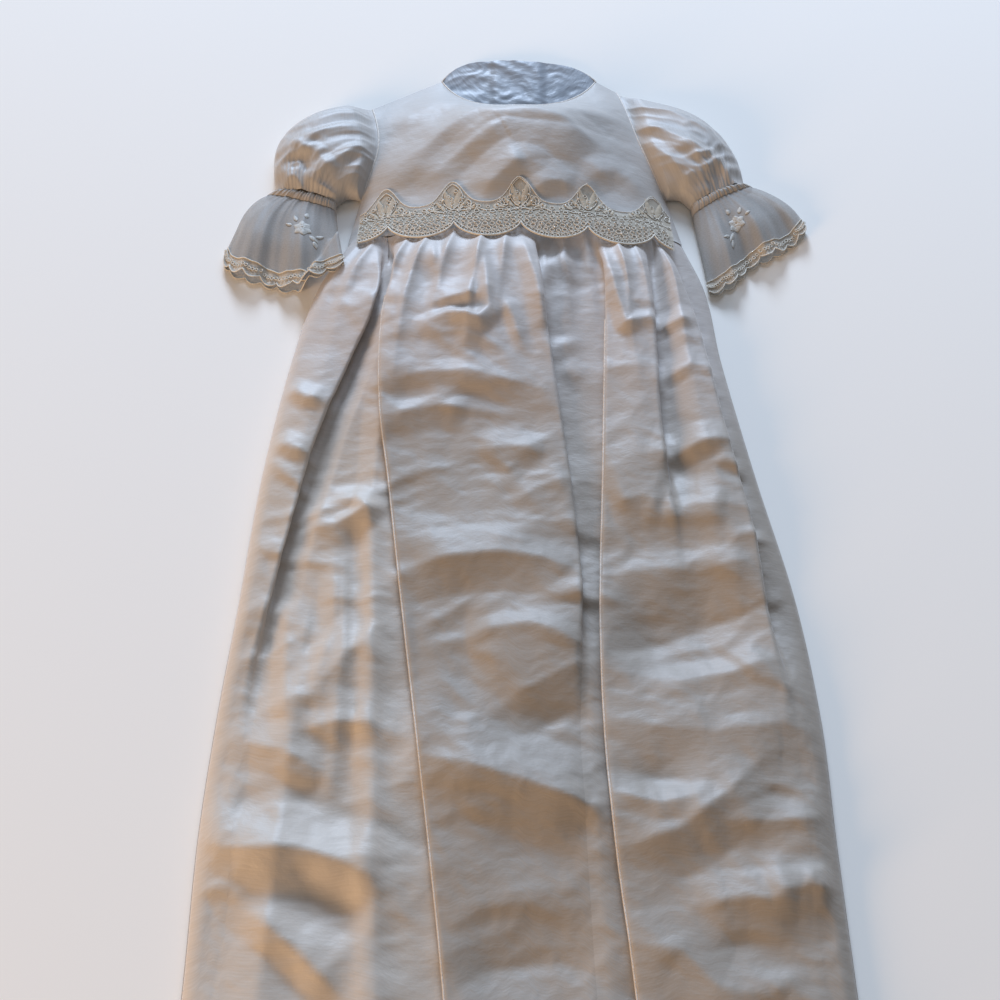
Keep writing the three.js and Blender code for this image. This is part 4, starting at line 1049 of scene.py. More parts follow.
def on_lace(x, y, lift=0.0):
    """Points and upward directions on the lace, from flat places in mm."""
    x, y = np.broadcast_arrays(np.asarray(x, float), np.asarray(y, float))

    def height(px, py):
        gx = np.clip((px - BED_X[0]) / (BED_X[1] - BED_X[0]), 0, len(BED_X) - 1.001)
        gy = np.clip((py - BED_Y[0]) / (BED_Y[1] - BED_Y[0]), 0, len(BED_Y) - 1.001)
        i, j = gx.astype(int), gy.astype(int)
        fx, fy = gx - i, gy - j
        low = lerp(BED[j, i], BED[j, i + 1], fx)
        return lerp(low, lerp(BED[j + 1, i], BED[j + 1, i + 1], fx), fy)
    slope_x = (height(x + 1, y) - height(x - 1, y)) / 2
    slope_y = (height(x, y + 1) - height(x, y - 1)) / 2
    normal = np.stack([-slope_x, -slope_y, np.ones_like(slope_x)], -1)
    normal /= np.linalg.norm(normal, axis=-1, keepdims=True)
    return np.stack([x, y, height(x, y)], -1) + normal * lift, normal


print("bed of the lace:", BED.min().round(1), "to", BED.max().round(1), "mm high")

# %% [markdown]
# The net ends in shallow scallops below and rises to five points above. Both repeat about every 49 mm, not
# quite in step, as in the photograph. Two curves give the edges, and the net fills the band between them.

# %% Net of the waist lace
NOTCH_AT, NOTCH_REPEAT, SCALLOP_DEPTH, LOW_SLOPE = -93, 48.6, 14, 0.035
PEAK_AT, PEAK_REPEAT, PEAK_HEIGHT, PEAK_WIDTH = -96, 49.8, 20, 11


def lace_low(x):
    f = np.mod((x - NOTCH_AT) / NOTCH_REPEAT, 1)
    return 2 - LOW_SLOPE * x - SCALLOP_DEPTH * np.maximum(0, 1 - (2 * f - 1) ** 2) ** 0.6


def lace_high(x):
    f = np.mod((x - PEAK_AT) / PEAK_REPEAT + 0.5, 1) - 0.5
    return 23 - 0.03 * x + PEAK_HEIGHT * np.exp(-((f * PEAK_REPEAT / PEAK_WIDTH) ** 2))


lace_x = np.linspace(-LACE_REACH, LACE_REACH, 260)[None]
lace_share = np.linspace(0, 1, 40)[:, None]
net_points, _ = on_lace(lace_x + 0 * lace_share, lerp(lace_low(lace_x), lace_high(lace_x), lace_share))
waist_net = cloth("net of the waist lace", net_points)

# %% [markdown]
# One helper adds any node with its settings and links, for materials and for Geometry Nodes alike. Colours
# are written as hex values, as a screen shows them, and one function turns them into the linear values of
# light.

# %% Node and colour helpers
def linear(hex_colour):
    parts = [int(hex_colour[i:i + 2], 16) / 255 for i in (1, 3, 5)]
    return tuple(p / 12.92 if p <= 0.04045 else ((p + 0.055) / 1.055) ** 2.4 for p in parts) + (1.0,)


def add(tree, kind, inputs=(), **settings):
    """inputs holds a value or another node's output for each socket by name or number."""
    made = tree.nodes.new(kind)
    for key, value in settings.items():
        setattr(made, key, value)
    for key, value in dict(inputs).items():
        socket = made.inputs[key]
        if isinstance(value, bpy.types.NodeSocket):
            tree.links.new(value, socket)
        else:
            socket.default_value = value
    return made


# %% [markdown]
# Dupion silk is woven from uneven threads. The thick places, or slubs, run across the cloth as fine
# streaks, and the smooth filaments give it a gloss that is sharper than that of cotton. The streaks are
# noise on the cloth's own map, 30 mm long and under a millimetre high. A soft crinkle of about a centimetre
# lies over them. Satin, organza, net and cord differ from silk only in these sizes, in gloss and in how
# much shows through, so one function makes them all. Threads finer than the picture can show are drawn as
# coarse as they need to be.

# %% Woven cloth and thread
COLOUR_A, COLOUR_B = 6, 7
FINE_DEPTH, SOFT_DEPTH = 0.0004, 0.002


def woven(name, colour, shade, roughness, slub, crinkle, sheen=0.0, specular=0.5, alpha=1.0, on_map=True):
    """slub and crinkle are (size across, size along, strength), with sizes in metres of cloth."""
    material = bpy.data.materials.new(name)
    material.use_nodes = True
    tree = material.node_tree
    tree.nodes.clear()
    if on_map:
        place = add(tree, "ShaderNodeUVMap", uv_map="Cloth").outputs["UV"]
    else:
        place = add(tree, "ShaderNodeTexCoord").outputs["Object"]
    layers = []
    for size_u, size_v, strength in (slub, crinkle):
        per_metre = (1 / size_u, 1 / size_v, 1 / size_u)
        scaled = add(tree, "ShaderNodeMapping", {"Vector": place, "Scale": per_metre})
        noise = add(tree, "ShaderNodeTexNoise", {
            "Vector": scaled.outputs["Vector"], "Scale": 1.0, "Detail": 3.0, "Roughness": 0.6})
        layers.append((noise.outputs["Fac"], strength))
    ramp = add(tree, "ShaderNodeMapRange", {"Value": layers[0][0], "From Min": 0.35, "From Max": 0.7})
    tint = add(tree, "ShaderNodeMix", {"Factor": ramp.outputs["Result"]}, data_type="RGBA")
    tint.inputs[COLOUR_A].default_value = linear(colour)
    tint.inputs[COLOUR_B].default_value = linear(shade)
    mixed = tint.outputs[2]
    # Painted light: the attribute's share of the colour is added to it; a piece without it reads zero, and
    # keeps its colour
    painted_light = add(tree, "ShaderNodeAttribute", attribute_name="painted_light")
    lit = add(tree, "ShaderNodeVectorMath", {0: mixed, 1: painted_light.outputs["Vector"], 2: mixed},
              operation="MULTIPLY_ADD")
    fine = add(tree, "ShaderNodeBump", {
        "Height": layers[0][0], "Strength": layers[0][1], "Distance": FINE_DEPTH})
    soft = add(tree, "ShaderNodeBump", {
        "Height": layers[1][0], "Strength": layers[1][1], "Distance": SOFT_DEPTH,
        "Normal": fine.outputs["Normal"]})
    shader = add(tree, "ShaderNodeBsdfPrincipled", {
        "Base Color": lit.outputs["Vector"], "Roughness": roughness, "Normal": soft.outputs["Normal"],
        "Specular IOR Level": specular, "Sheen Weight": sheen, "Sheen Roughness": 0.4, "Alpha": alpha})
    add(tree, "ShaderNodeOutputMaterial", {"Surface": shader.outputs["BSDF"]})
    return material


# Champagne dupion: warm threads that keep a soft gloss
silk = woven("silk dupion", "#b2a79b", "#aa9f92", roughness=0.5,
             slub=(0.03, 0.0009, 0.1), crinkle=(0.012, 0.008, 0.22), sheen=0.2, specular=0.35)
# Lining satin: floating threads, a cool grey darker than the silk, with small bright lights
satin = woven("lining satin", "#85878b", "#7b7e83", roughness=0.42,
              slub=(0.02, 0.0006, 0.1), crinkle=(0.009, 0.006, 0.2))
# Organza: a stiff open weave, so light passes through between its threads
organza = woven("silk organza", "#b3afaa", "#a6a19a", roughness=0.55,
                slub=(0.0012, 0.0012, 0.2), crinkle=(0.014, 0.014, 0.15), sheen=0.1, specular=0.3,
                alpha=0.66)
# Rolled silk edges: the same threads as the cloth, painted lighter, a painted highlight where the edges catch
# the light
silk_roll_painted_highlight = woven("rolled silk with painted highlight", "#d2c7bb", "#c4b8ab", roughness=0.5,
                  slub=(0.0015, 0.0008, 0.4), crinkle=(0.005, 0.004, 0.3), sheen=0.15, on_map=False)
print("silk, satin and organza:", [material.name for material in (silk, satin, organza, silk_roll_painted_highlight)])

# %% [markdown]
# The laces are cotton, matt and warm beside the silk. The net is so fine that most of the cloth below shows
# through, and the edging is denser. The sprays are worked in silk thread with a soft gloss. A bead is glass
# with a pearly coat, the only hard thing on the gown.

# %% Lace, thread and beads
# Net: cotton threads finer than a millimetre
net = woven("cotton net", "#cbc0ae", "#b9ae9b", roughness=0.8,
            slub=(0.0018, 0.0018, 0.6), crinkle=(0.004, 0.004, 0.4), specular=0.2, alpha=0.6)
# Edging lace: soft matt cotton
edging = woven("edging lace", "#c6beb2", "#b6ad9f", roughness=0.8,
               slub=(0.0022, 0.0022, 0.8), crinkle=(0.004, 0.004, 0.6), specular=0.2, alpha=0.9)
# Cord: twisted cotton, with the twist showing as a fine grain
cord_cotton = woven("cotton cord", "#dcd5c8", "#ccc3b4", roughness=0.75,
                    slub=(0.0012, 0.0008, 0.6), crinkle=(0.003, 0.003, 0.3), sheen=0.1, specular=0.3,
                    on_map=False)
# Bead: glass with a pearly coat
bead_glass = woven("pearl bead", "#d9d3c8", "#cfc8bc", roughness=0.18,
                   slub=(0.002, 0.002, 0.05), crinkle=(0.004, 0.004, 0.0), specular=0.9, on_map=False)
# Satin stitch: silk threads side by side
satin_stitch = woven("satin stitch thread", "#bcb8af", "#aaa59b", roughness=0.55,
                     slub=(0.0004, 0.004, 0.5), crinkle=(0.003, 0.003, 0.3), sheen=0.2, on_map=False)
# Tan thread: the leaves of the waist lace are worked in a darker cotton
tan_stitch = woven("tan cotton thread", "#b9ab96", "#a99a83", roughness=0.7,
                   slub=(0.0004, 0.004, 0.5), crinkle=(0.003, 0.003, 0.3), sheen=0.1, specular=0.3,
                   on_map=False)
made = (net, edging, cord_cotton, bead_glass, satin_stitch, tan_stitch)
print("lace, thread and beads:", [material.name for material in made])

# %% [markdown]
# Cords are swept along paths, and eyelets and beads sit on points. Hundreds of them would be slow to model
# by hand, so Geometry Nodes make them. Each tree has named inputs for its sizes, and ends in real mesh with
# its material set. A tree is started and ended in the same way each time, so two functions do that.

# %% Start and end of a tree
def new_tree(name, sizes):
    """A node tree with its inputs, and the sockets that hold what it is given."""
    tree = bpy.data.node_groups.new(name, "GeometryNodeTree")
    tree.interface.new_socket("Geometry", in_out="INPUT", socket_type="NodeSocketGeometry")
    for label, kind in sizes.items():
        tree.interface.new_socket(label, in_out="INPUT", socket_type=kind)
    tree.interface.new_socket("Material", in_out="INPUT", socket_type="NodeSocketMaterial")
    tree.interface.new_socket("Geometry", in_out="OUTPUT", socket_type="NodeSocketGeometry")
    return tree, tree.nodes.new("NodeGroupInput").outputs


def end_tree(tree, given, geometry):
    real = add(tree, "GeometryNodeRealizeInstances", {"Geometry": geometry})
    shaded = add(tree, "GeometryNodeSetShadeSmooth", {"Geometry": real.outputs["Geometry"]})
    painted = add(tree, "GeometryNodeSetMaterial", {"Geometry": shaded.outputs["Geometry"],
                                                    "Material": given["Material"]})
    add(tree, "NodeGroupOutput", {"Geometry": painted.outputs["Geometry"]})


# %% [markdown]
# A cord is a circle swept along a path. An eyelet is a small ring of thread and a bead a small sphere, and
# each is turned so that its own up points along the cloth's. A random scale makes them a little uneven, as
# hand work is. They have few faces, because there are so many.

# %% Cords, eyelets and beads
EYELET_SIDES, THREAD_SIDES, BEAD_SIDES, BEAD_RINGS = 10, 5, 8, 6


def cord_tree():
    tree, given = new_tree("cord along a path", {"Radius": "NodeSocketFloat", "Sides": "NodeSocketInt"})
    path = add(tree, "GeometryNodeMeshToCurve", {"Mesh": given["Geometry"]})
    section = add(tree, "GeometryNodeCurvePrimitiveCircle", {
        "Radius": given["Radius"], "Resolution": given["Sides"]})
    swept = add(tree, "GeometryNodeCurveToMesh", {
        "Curve": path.outputs["Curve"], "Profile Curve": section.outputs["Curve"], "Fill Caps": True})
    end_tree(tree, given, swept.outputs["Mesh"])
    return tree


def scatter_tree(name, is_ring):
    tree, given = new_tree(name, {
        "Size": "NodeSocketFloat", "Thread": "NodeSocketFloat", "Unevenness": "NodeSocketFloat",
        "Seed": "NodeSocketInt"})
    up = add(tree, "GeometryNodeInputNamedAttribute", {"Name": "up"}, data_type="FLOAT_VECTOR")
    turned = add(tree, "FunctionNodeAlignRotationToVector", {"Vector": up.outputs["Attribute"]}, axis="Z")
    if is_ring:
        circle = add(tree, "GeometryNodeCurvePrimitiveCircle", {
            "Radius": given["Size"], "Resolution": EYELET_SIDES})
        thread = add(tree, "GeometryNodeCurvePrimitiveCircle", {
            "Radius": given["Thread"], "Resolution": THREAD_SIDES})
        thing = add(tree, "GeometryNodeCurveToMesh", {
            "Curve": circle.outputs["Curve"], "Profile Curve": thread.outputs["Curve"]})
    else:
        thing = add(tree, "GeometryNodeMeshUVSphere", {
            "Segments": BEAD_SIDES, "Rings": BEAD_RINGS, "Radius": given["Size"]})
    low = add(tree, "ShaderNodeMath", {0: 1.0, 1: given["Unevenness"]}, operation="SUBTRACT")
    scale = add(tree, "FunctionNodeRandomValue", {2: low.outputs[0], 3: 1.0, "Seed": given["Seed"]})
    placed = add(tree, "GeometryNodeInstanceOnPoints", {
        "Points": given["Geometry"], "Instance": thing.outputs["Mesh"],
        "Rotation": turned.outputs["Rotation"], "Scale": scale.outputs[1]})
    end_tree(tree, given, placed.outputs["Instances"])
    return tree


CORD = cord_tree()
EYELETS = scatter_tree("eyelets on points", True)
BEADS = scatter_tree("beads on points", False)
print("node trees:", [tree.name for tree in (CORD, EYELETS, BEADS)])

# %% [markdown]
# A tree works as a modifier on a plain mesh of points and lines. Its inputs are set by their identifiers
# before Blender first evaluates it. The result is copied out as a plain mesh, because the modifier would
# not survive the export.

# %% Trees run on paths and points
def grown(name, mesh, tree, **values):
    """Runs a tree on a mesh and keeps the result as a plain mesh."""
    source = link(name + " source", mesh)
    modifier = source.modifiers.new("tree", "NODES")
    modifier.node_group = tree
    for item in tree.interface.items_tree:
        if item.in_out == "INPUT" and item.name in values:
            modifier[item.identifier] = values[item.name]
    evaluated = source.evaluated_get(bpy.context.evaluated_depsgraph_get())
    result = bpy.data.meshes.new_from_object(evaluated)
    result.name = name
    bpy.data.objects.remove(source)
    result.materials.clear()
    result.materials.append(values["Material"])
    print(f"{name}: {len(result.polygons)} faces")
    return link(name, result)


def cords(name, paths, radius, material, sides=6):
    """paths are lists of points in mm; a path whose ends meet is closed."""
    points, lines = [], []
    for path in paths:
        path = np.asarray(path)
        closed = np.linalg.norm(path[0] - path[-1]) < 1e-6
        count = len(path) - 1 if closed else len(path)
        first = len(points)
        points += ((path[:count] + SHIFT) / 1000).tolist()
        lines += [(first + k, first + k + 1) for k in range(count - 1)]
        if closed:
            lines.append((first + count - 1, first))
    mesh = bpy.data.meshes.new(name)
    mesh.from_pydata(points, lines, [])
    return grown(name, mesh, CORD, Radius=radius / 1000, Sides=sides, Material=material)


def scattered(name, tree, points, ups, size, thread, uneven, seed, material):
    """Eyelets or beads on points in mm, each turned so that its up follows ups."""
    mesh = bpy.data.meshes.new(name)
    mesh.from_pydata(((np.asarray(points) + SHIFT) / 1000).tolist(), [], [])
    layer = mesh.attributes.new("up", "FLOAT_VECTOR", "POINT")
    layer.data.foreach_set("vector", np.asarray(ups, np.float32).ravel())
    return grown(name, mesh, tree, Size=size / 1000, Thread=thread / 1000, Unevenness=uneven, Seed=seed,
                 Material=material)


# %% [markdown]
# Leaves and petals are padded, so that thread worked over them stands up. Each is a small pointed patch
# with a domed height, laid on whatever cloth it belongs to. Many patches make one mesh.

# %% Padded patches
PETAL_PAD = 0.45


def petal(centre, direction, length, width):
    """Flat grid of a pointed oval, with its height."""
    t, u = np.meshgrid(np.linspace(0, 1, 9), np.linspace(-1, 1, 7), indexing="ij")
    half_width = width / 2 * np.sin(np.pi * t ** 0.8) ** 0.8
    along = np.array([math.cos(direction), math.sin(direction)])
    side = np.array([-math.sin(direction), math.cos(direction)])
    flat = np.array(centre) + (t * length)[..., None] * along + (u * half_width)[..., None] * side
    return flat, PETAL_PAD * arch(t) ** 0.5 * (1 - u ** 2)


def patches(name, grids, mirrored=False):
    """One mesh from several grids of points in mm; mirrored turns the faces over."""
    points, faces = [], []
    for grid in grids:
        first, (rows, cols) = len(points), grid.shape[:2]
        points += ((grid.reshape(-1, 3) + SHIFT) / 1000).tolist()
        starts = [first + r * cols + c for r in range(rows - 1) for c in range(cols - 1)]
        across, along = (cols, 1) if not mirrored else (1, cols)
        faces += [(a, a + across, a + cols + 1, a + along) for a in starts]
    mesh = bpy.data.meshes.new(name)
    mesh.from_pydata(points, [], faces)
    layer = mesh.uv_layers.new(name="Cloth")
    for loop in mesh.loops:
        layer.data[loop.index].uv = mesh.vertices[loop.vertex_index].co.xy
    mesh.polygons.foreach_set("use_smooth", [True] * len(mesh.polygons))
    print(f"{name}: {len(faces)} faces")
    return link(name, mesh)


# %% [markdown]
# A thick cord edges the scallops, and thin cords run above it, along the top and through the middle. At
# each peak a flame of cord closes round a pair of leaves, with two scrolls to each side. These are common
# forms of corded lace, drawn here from plain curves.

# %% Cords of the waist lace
PEAKS = [PEAK_AT + PEAK_REPEAT * k for k in range(5)]
NOTCHES = [NOTCH_AT + NOTCH_REPEAT * k for k in range(-1, 5)]
THICK, THIN = 0.75, 0.36


def inside_lace(path, margin=0.0):
    """Keeps the stretch of a flat path that lies on the lace."""
    path = np.asarray(path, float)
    path = path[np.abs(path[:, 0]) < LACE_REACH - margin]
    return path if len(path) > 2 else None


def scroll(x, y, lean, size):
    """A spiral that winds in, leaning to one side."""
    t = np.linspace(0, 1, 30)
    turn = 2.7 * np.pi * t + np.pi / 2
    radius = size * (1 - 0.75 * t)
    return np.stack([x + lean * radius * np.cos(turn) * -1, y + radius * np.sin(turn)], 1)


def lace_lines():
    """Thick and thin cords as flat paths, in mm along the waist and up from it."""
    x = np.linspace(-LACE_REACH, LACE_REACH, 300)
    thick = [np.stack([x, lace_low(x) + 0.7], 1)]
    thin = [np.stack([x, lace_low(x) + 4.8], 1), np.stack([x, lace_high(x) - 0.4], 1)]
    thin.append(np.stack([x, 15.5 - 0.03 * x + 1.0 * np.sin(x / 2.6) + 0.8 * np.sin(x / 7.1)], 1))
    for peak in PEAKS:
        for lean in (1, -1):
            flame = np.linspace(0, 1, 20)
            thin.append(np.stack([peak + lean * 7.5 * np.sin(np.pi * flame) ** 0.8, 18 + 24 * flame], 1))
            thin.append(scroll(peak + lean * 10.5, 22.5, lean, 4.2))
            thin.append(scroll(peak + lean * 16.5, 20.0, -lean, 3.2))
    keep = lambda lines, margin: [p for p in (inside_lace(line, margin) for line in lines) if p is not None]
    return keep(thick, 0.8), keep(thin, 0.5)


thick_lines, thin_lines = lace_lines()
lace_thick = cords("thick cords of the waist lace",
                   [on_lace(p[:, 0], p[:, 1], THICK)[0] for p in thick_lines], THICK, cord_cotton)
lace_thin = cords("thin cords of the waist lace",
                  [on_lace(p[:, 0], p[:, 1], 0.4)[0] for p in thin_lines], THIN, cord_cotton, 5)

# %% [markdown]
# Leaves in tan thread fill each peak: one upright, and four pairs that lean out to both sides. They are
# padded patches, laid on the lace and raised along its own up.

# %% Leaves of the waist lace
# Each leaf from the middle of its peak: x, y, direction in degrees, length and width
LEAVES = [(0, 23, 90, 8, 2.6)]
SIDE_LEAVES = [(1.4, 19, 14, 20, 4.6), (5.0, 18, 38, 12, 3.4), (10.5, 17, 66, 8, 2.8), (17, 15, 24, 6, 2.6)]
LEAVES += [(lean * x, y, 90 - lean * turn, length, width)
           for lean in (1, -1) for x, y, turn, length, width in SIDE_LEAVES]
LEAF_MARGIN = 10


def lace_leaf(x, y, degrees, length, width):
    """A padded leaf on the lace, as a grid of points."""
    flat, rise = petal((x, y), math.radians(degrees), length, width)
    point, up = on_lace(flat[..., 0], flat[..., 1], 0.2)
    return point + up * (0.2 + rise)[..., None]


leaf_grids = [lace_leaf(peak + x, y, turn, length, width)
              for peak in PEAKS for x, y, turn, length, width in LEAVES
              if abs(peak + x) < LACE_REACH - LEAF_MARGIN]
lace_leaves = patches("leaves of the waist lace", leaf_grids)

# %% [markdown]
# Rows of small loops fill the lace and follow its scallops, and they stop below the upper edge. Pearly
# beads mark the peaks and the scallops. Each row is a list of points for the eyelet tree.

# %% Eyelets and beads of the waist lace
# Each row: height above the lower edge, spacing, loop and thread, all in mm
EYELET_ROWS = [(2.8, 3.9, 1.35, 0.42), (7.4, 4.6, 1.8, 0.38), (11.6, 5.1, 2.0, 0.36), (16.0, 4.6, 1.7, 0.36),
               (20.0, 5.2, 1.5, 0.36), (24.6, 5.9, 1.9, 0.36), (29.6, 6.7, 1.6, 0.36), (34.4, 5.6, 1.4, 0.36)]
lace_eyelets = []
for row, (above, spacing, loop, thread) in enumerate(EYELET_ROWS):
    x = np.arange(-LACE_REACH + 2.4 + spacing / 2 * (row % 2), LACE_REACH - 2, spacing)
    y = lace_low(x) + above
    inside = y < lace_high(x) - 2.4
    points, ups = on_lace(x[inside], y[inside], 0.5)
    lace_eyelets.append(scattered(f"eyelets of the waist lace {row}", EYELETS, points, ups,
                                  loop, thread, 0.25, 3 + row, cord_cotton))
PEAK_BEADS = [(0.01, 21), (6.5, 28), (8.5, 22.5), (16.5, 19.5)]
SCALLOP_BEADS = [(0, -2.2), (-9.2, 0.6), (9.2, 0.6), (-17, 6.5), (17, 6.5)]
bead_places = [(peak + lean * x, y) for peak in PEAKS for lean in (1, -1) for x, y in PEAK_BEADS]
for notch in NOTCHES:
    middle = notch + NOTCH_REPEAT / 2
    bead_places += [(middle + x, y - LOW_SLOPE * middle) for x, y in SCALLOP_BEADS]
bead_places = np.array([b for b in bead_places if abs(b[0]) < LACE_REACH - 2])
points, ups = on_lace(bead_places[:, 0], bead_places[:, 1], 1.1)
lace_beads = scattered("beads of the waist lace", BEADS, points, ups, 0.85, 0.0, 0.3, 9, bead_glass)

# %% [markdown]
# The edging of each ruffle is a narrow lace: a scalloped outer cord, a straight heading where it joins the
# organza, and a row of eyelets between. The same ruffle surface gives their places, so they follow its
# waves.

# %% Trimming of the ruffles
def ruffle_path(side, share, lift, scallop, over_only=False):
    """A line round a ruffle, at a share of its length; scallop is how far it follows the scalloped edge."""
    w, over = ring(160, 80)
    if over_only:
        w, over = w[over > 0], over[over > 0]
    t = share - scallop * (1 - LACE_FROM) * scallop_dip(w)
    point = ruffle_point(side, w, over, t)
    point[..., 2] += np.where(over > 0, lift, 0.2)
    return point if over_only else np.concatenate([point, point[:1]])


trims = {}
for side in ("left", "right"):
    paths = [ruffle_path(side, 1.0, 0.3, 1.0), ruffle_path(side, LACE_FROM, 0.3, 0.0)]
    middle = ruffle_path(side, 0.93, 0.5, 0.6, True)[3:-3:3]
    trims[side] = [
        cords(f"cords of the edging {side}", paths, 0.45, cord_cotton, 5),
        scattered(f"eyelets of the edging {side}", EYELETS, middle, np.tile([0, 0, 1.0], (len(middle), 1)),
                  1.2, 0.4, 0.2, 4, cord_cotton)]


# %% [markdown]
# A band of silk covers the seam between puff and ruffle. It is drawn up on a thread, so it is ruched: small
# upright tucks stand close together along it.

# %% Ruched bands
TUCKS = 26


def band_grid(side):
    w, over = ring(150, 60)
    across = np.linspace(0, 1, 9)[:, None]
    point = ruffle_point(side, w[None] + 0 * across, over[None], 0.13 * across - 0.03)
    tucks = 0.5 + 0.5 * np.cos(2 * np.pi * TUCKS * w[None] + 2.5 * np.sin(9 * w[None]) + 1.5 * across)
    lift = arch(0.06 + 0.88 * across) * (1.8 + 1.0 * tucks * dome(w[None]))
    point[..., 2] += np.where(over[None] > 0, lift, 0.1)
    return point


bands = {"left": cloth("ruched band left", band_grid("left"), ring=True),
         "right": cloth("ruched band right", band_grid("right"), ring=True, up=-1)}

# %% [markdown]
# Each ruffle carries an embroidered spray: a flower, a bud and leaves in padded satin stitch. The
# photograph shows only a pale blur there, so this is a plain flower of a common kind. A petal is the same
# domed patch as a leaf of the lace, laid on the organza.

# %% Embroidery on the organza
def spray():
    """A round flower of overlapping petals, a bud and five leaves."""
    around = np.linspace(0.3, 2 * np.pi + 0.3, 7)[:6]
    petals = [petal((1.0 * math.cos(a), 1.0 * math.sin(a)), a, 5.6, 5.2) for a in around]
    petals += [petal((0.2 * math.cos(a), 0.2 * math.sin(a)), a + 0.5, 3.0, 2.8) for a in around]
    leaves = [((-5, -5), 3.8, 7, 3.4), ((-8, -9), 4.4, 6, 2.8), ((-9, -5), 2.9, 6, 2.8),
              ((5, 6), 0.9, 6, 3.0), ((8, 2), 0.2, 5, 2.6), ((-1, 10), 1.7, 5, 3.6)]
    return petals + [petal(*leaf) for leaf in leaves]


def embroidered(side, w0, t0, w_scale, t_scale):
    """The spray laid on one ruffle, its middle at the shares w0 and t0."""
    grids = []
    for flat, rise in spray():
        w, t = w0 + flat[..., 0] * w_scale, t0 - flat[..., 1] * t_scale
        point = ruffle_point(side, w, np.ones_like(w), t)
        point[..., 2] += 0.3 + rise
        grids.append(point)
    return patches(f"embroidery {side}", grids, mirrored=side == "left")


embroidery = {"left": embroidered("left", 0.34, 0.44, 1 / 74, 1 / 78),
              "right": embroidered("right", 0.42, 0.5, 1 / 74, 1 / 70)}

# %% [markdown]
# Narrow rolls of silk finish the edges: one round the neck, one along each armhole seam, and the two
# pressed edges of the skirt. Each is a cord swept along a line of the cloth, so it follows every drape.

# %% Neck roll, armhole seams and pressed edges
SEAM_SINK = 0.2
neck_a = np.linspace(NECK_FROM, NECK_TO, 90)
neck_front = bodice_point(neck_a, np.ones_like(neck_a))
neck_back_x = np.linspace(NECK_RIGHT[0], NECK_LEFT[0], 90)
neck_back = np.stack([neck_back_x, back_top(neck_back_x) - 0.3, 2.6 + 0 * neck_back_x], 1)
hole_b = np.linspace(ARMPIT, 1, 50)
hole_left = bodice_point(np.zeros_like(hole_b), hole_b) - [0, 0, SEAM_SINK]
hole_right = bodice_point(np.ones_like(hole_b), hole_b) - [0, 0, SEAM_SINK]
round_the_neck = np.concatenate([neck_front, neck_back[1:-1], neck_front[:1]])
# The rolls are painted lighter than the cloth: a painted highlight along each edge
pleat_edges = cords("pressed edges of the pleats", pressed, 0.75, silk_roll_painted_highlight, 6)
neck_roll = cords("neck roll", [round_the_neck], 0.8, silk_roll_painted_highlight, 8)
seam_left = cords("armhole seam left", [hole_left], 0.7, silk_roll_painted_highlight, 8)
seam_right = cords("armhole seam right", [hole_right], 0.7, silk_roll_painted_highlight, 8)

# %% [markdown]
# Each sheet now gets its finish. It rides on the gown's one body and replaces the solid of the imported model
# that it stands for. The table also says what flat piece each was cut from, in metres, and how it is held:
# gathered along a seam, or simply laid.

# %% Sheets and their finishes
SHEETS = {
    "skirt_front": (skirt_front, silk, "silk", (0.50, 0.74), "gathered"),
    "skirt_back": (skirt_back, silk, "silk", (0.39, 0.70), "laid"),
    "bodice_front": (bodice_front, silk, "silk", (0.25, 0.18), "laid"),
    "bodice_back_left": (back_left, silk, "silk", (0.14, 0.19), "laid"),
    "bodice_back_right": (back_right, silk, "silk", (0.14, 0.19), "laid"),
    "lining_back": (lining_back, satin, "satin", (0.12, 0.085), "laid"),
    "sleeve_left": (sleeve_left, silk, "silk", (0.18, 0.10), "gathered"),
    "sleeve_right": (sleeve_right, silk, "silk", (0.18, 0.10), "gathered"),
    "cuff_left": (cuff_left, organza, "organza", (0.19, 0.075), "gathered"),
    "cuff_right": (cuff_right, organza, "organza", (0.17, 0.07), "gathered"),
    "cuff_lace_left": (edging_left, edging, "edging_lace", (0.22, 0.012), "gathered"),
    "cuff_lace_right": (edging_right, edging, "edging_lace", (0.20, 0.012), "gathered"),
    "waist_lace": (waist_net, net, "corded_lace", (0.25, 0.045), "laid"),
}


def dress(piece, material, slot):
    """Gives a piece its material, or leaves what it has, and its body; slot is not used."""
    if material is not None:
        piece.data.materials.clear()
        piece.data.materials.append(material)
    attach(piece, "root")


for piece in (bodice_front, sleeve_left, sleeve_right):
    set_painted_light(piece, BODICE_PAINTED_LIGHT)
for node_name, (piece, material, slot, _, _) in SHEETS.items():
    dress(piece, material, slot)
    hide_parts(node_name)
print(len(SHEETS), "sheets dressed")

# %% [markdown]
# What is sewn on the sheets adds to them and replaces nothing. Cords, eyelets and beads already have their
# material from their node trees, so only the leaves, the sprays and the bands are given one here.

# %% Sewn trims
TRIMS = [(lace_thick, None, "corded_lace"), (lace_thin, None, "corded_lace"),
         (lace_beads, None, "corded_lace"), (lace_leaves, tan_stitch, "corded_lace"),
         (neck_roll, None, "silk"), (seam_left, None, "silk"), (seam_right, None, "silk"),
         (embroidery["left"], satin_stitch, "organza"), (embroidery["right"], satin_stitch, "organza")]
TRIMS += [(piece, None, "edging_lace") for side in trims for piece in trims[side]]
TRIMS += [(piece, silk, "silk") for piece in bands.values()] + [(pleat_edges, None, "silk")]
TRIMS += [(piece, None, "corded_lace") for piece in lace_eyelets]
for piece, material, slot in TRIMS:
    dress(piece, material, slot)
print(len(TRIMS), "trims dressed")

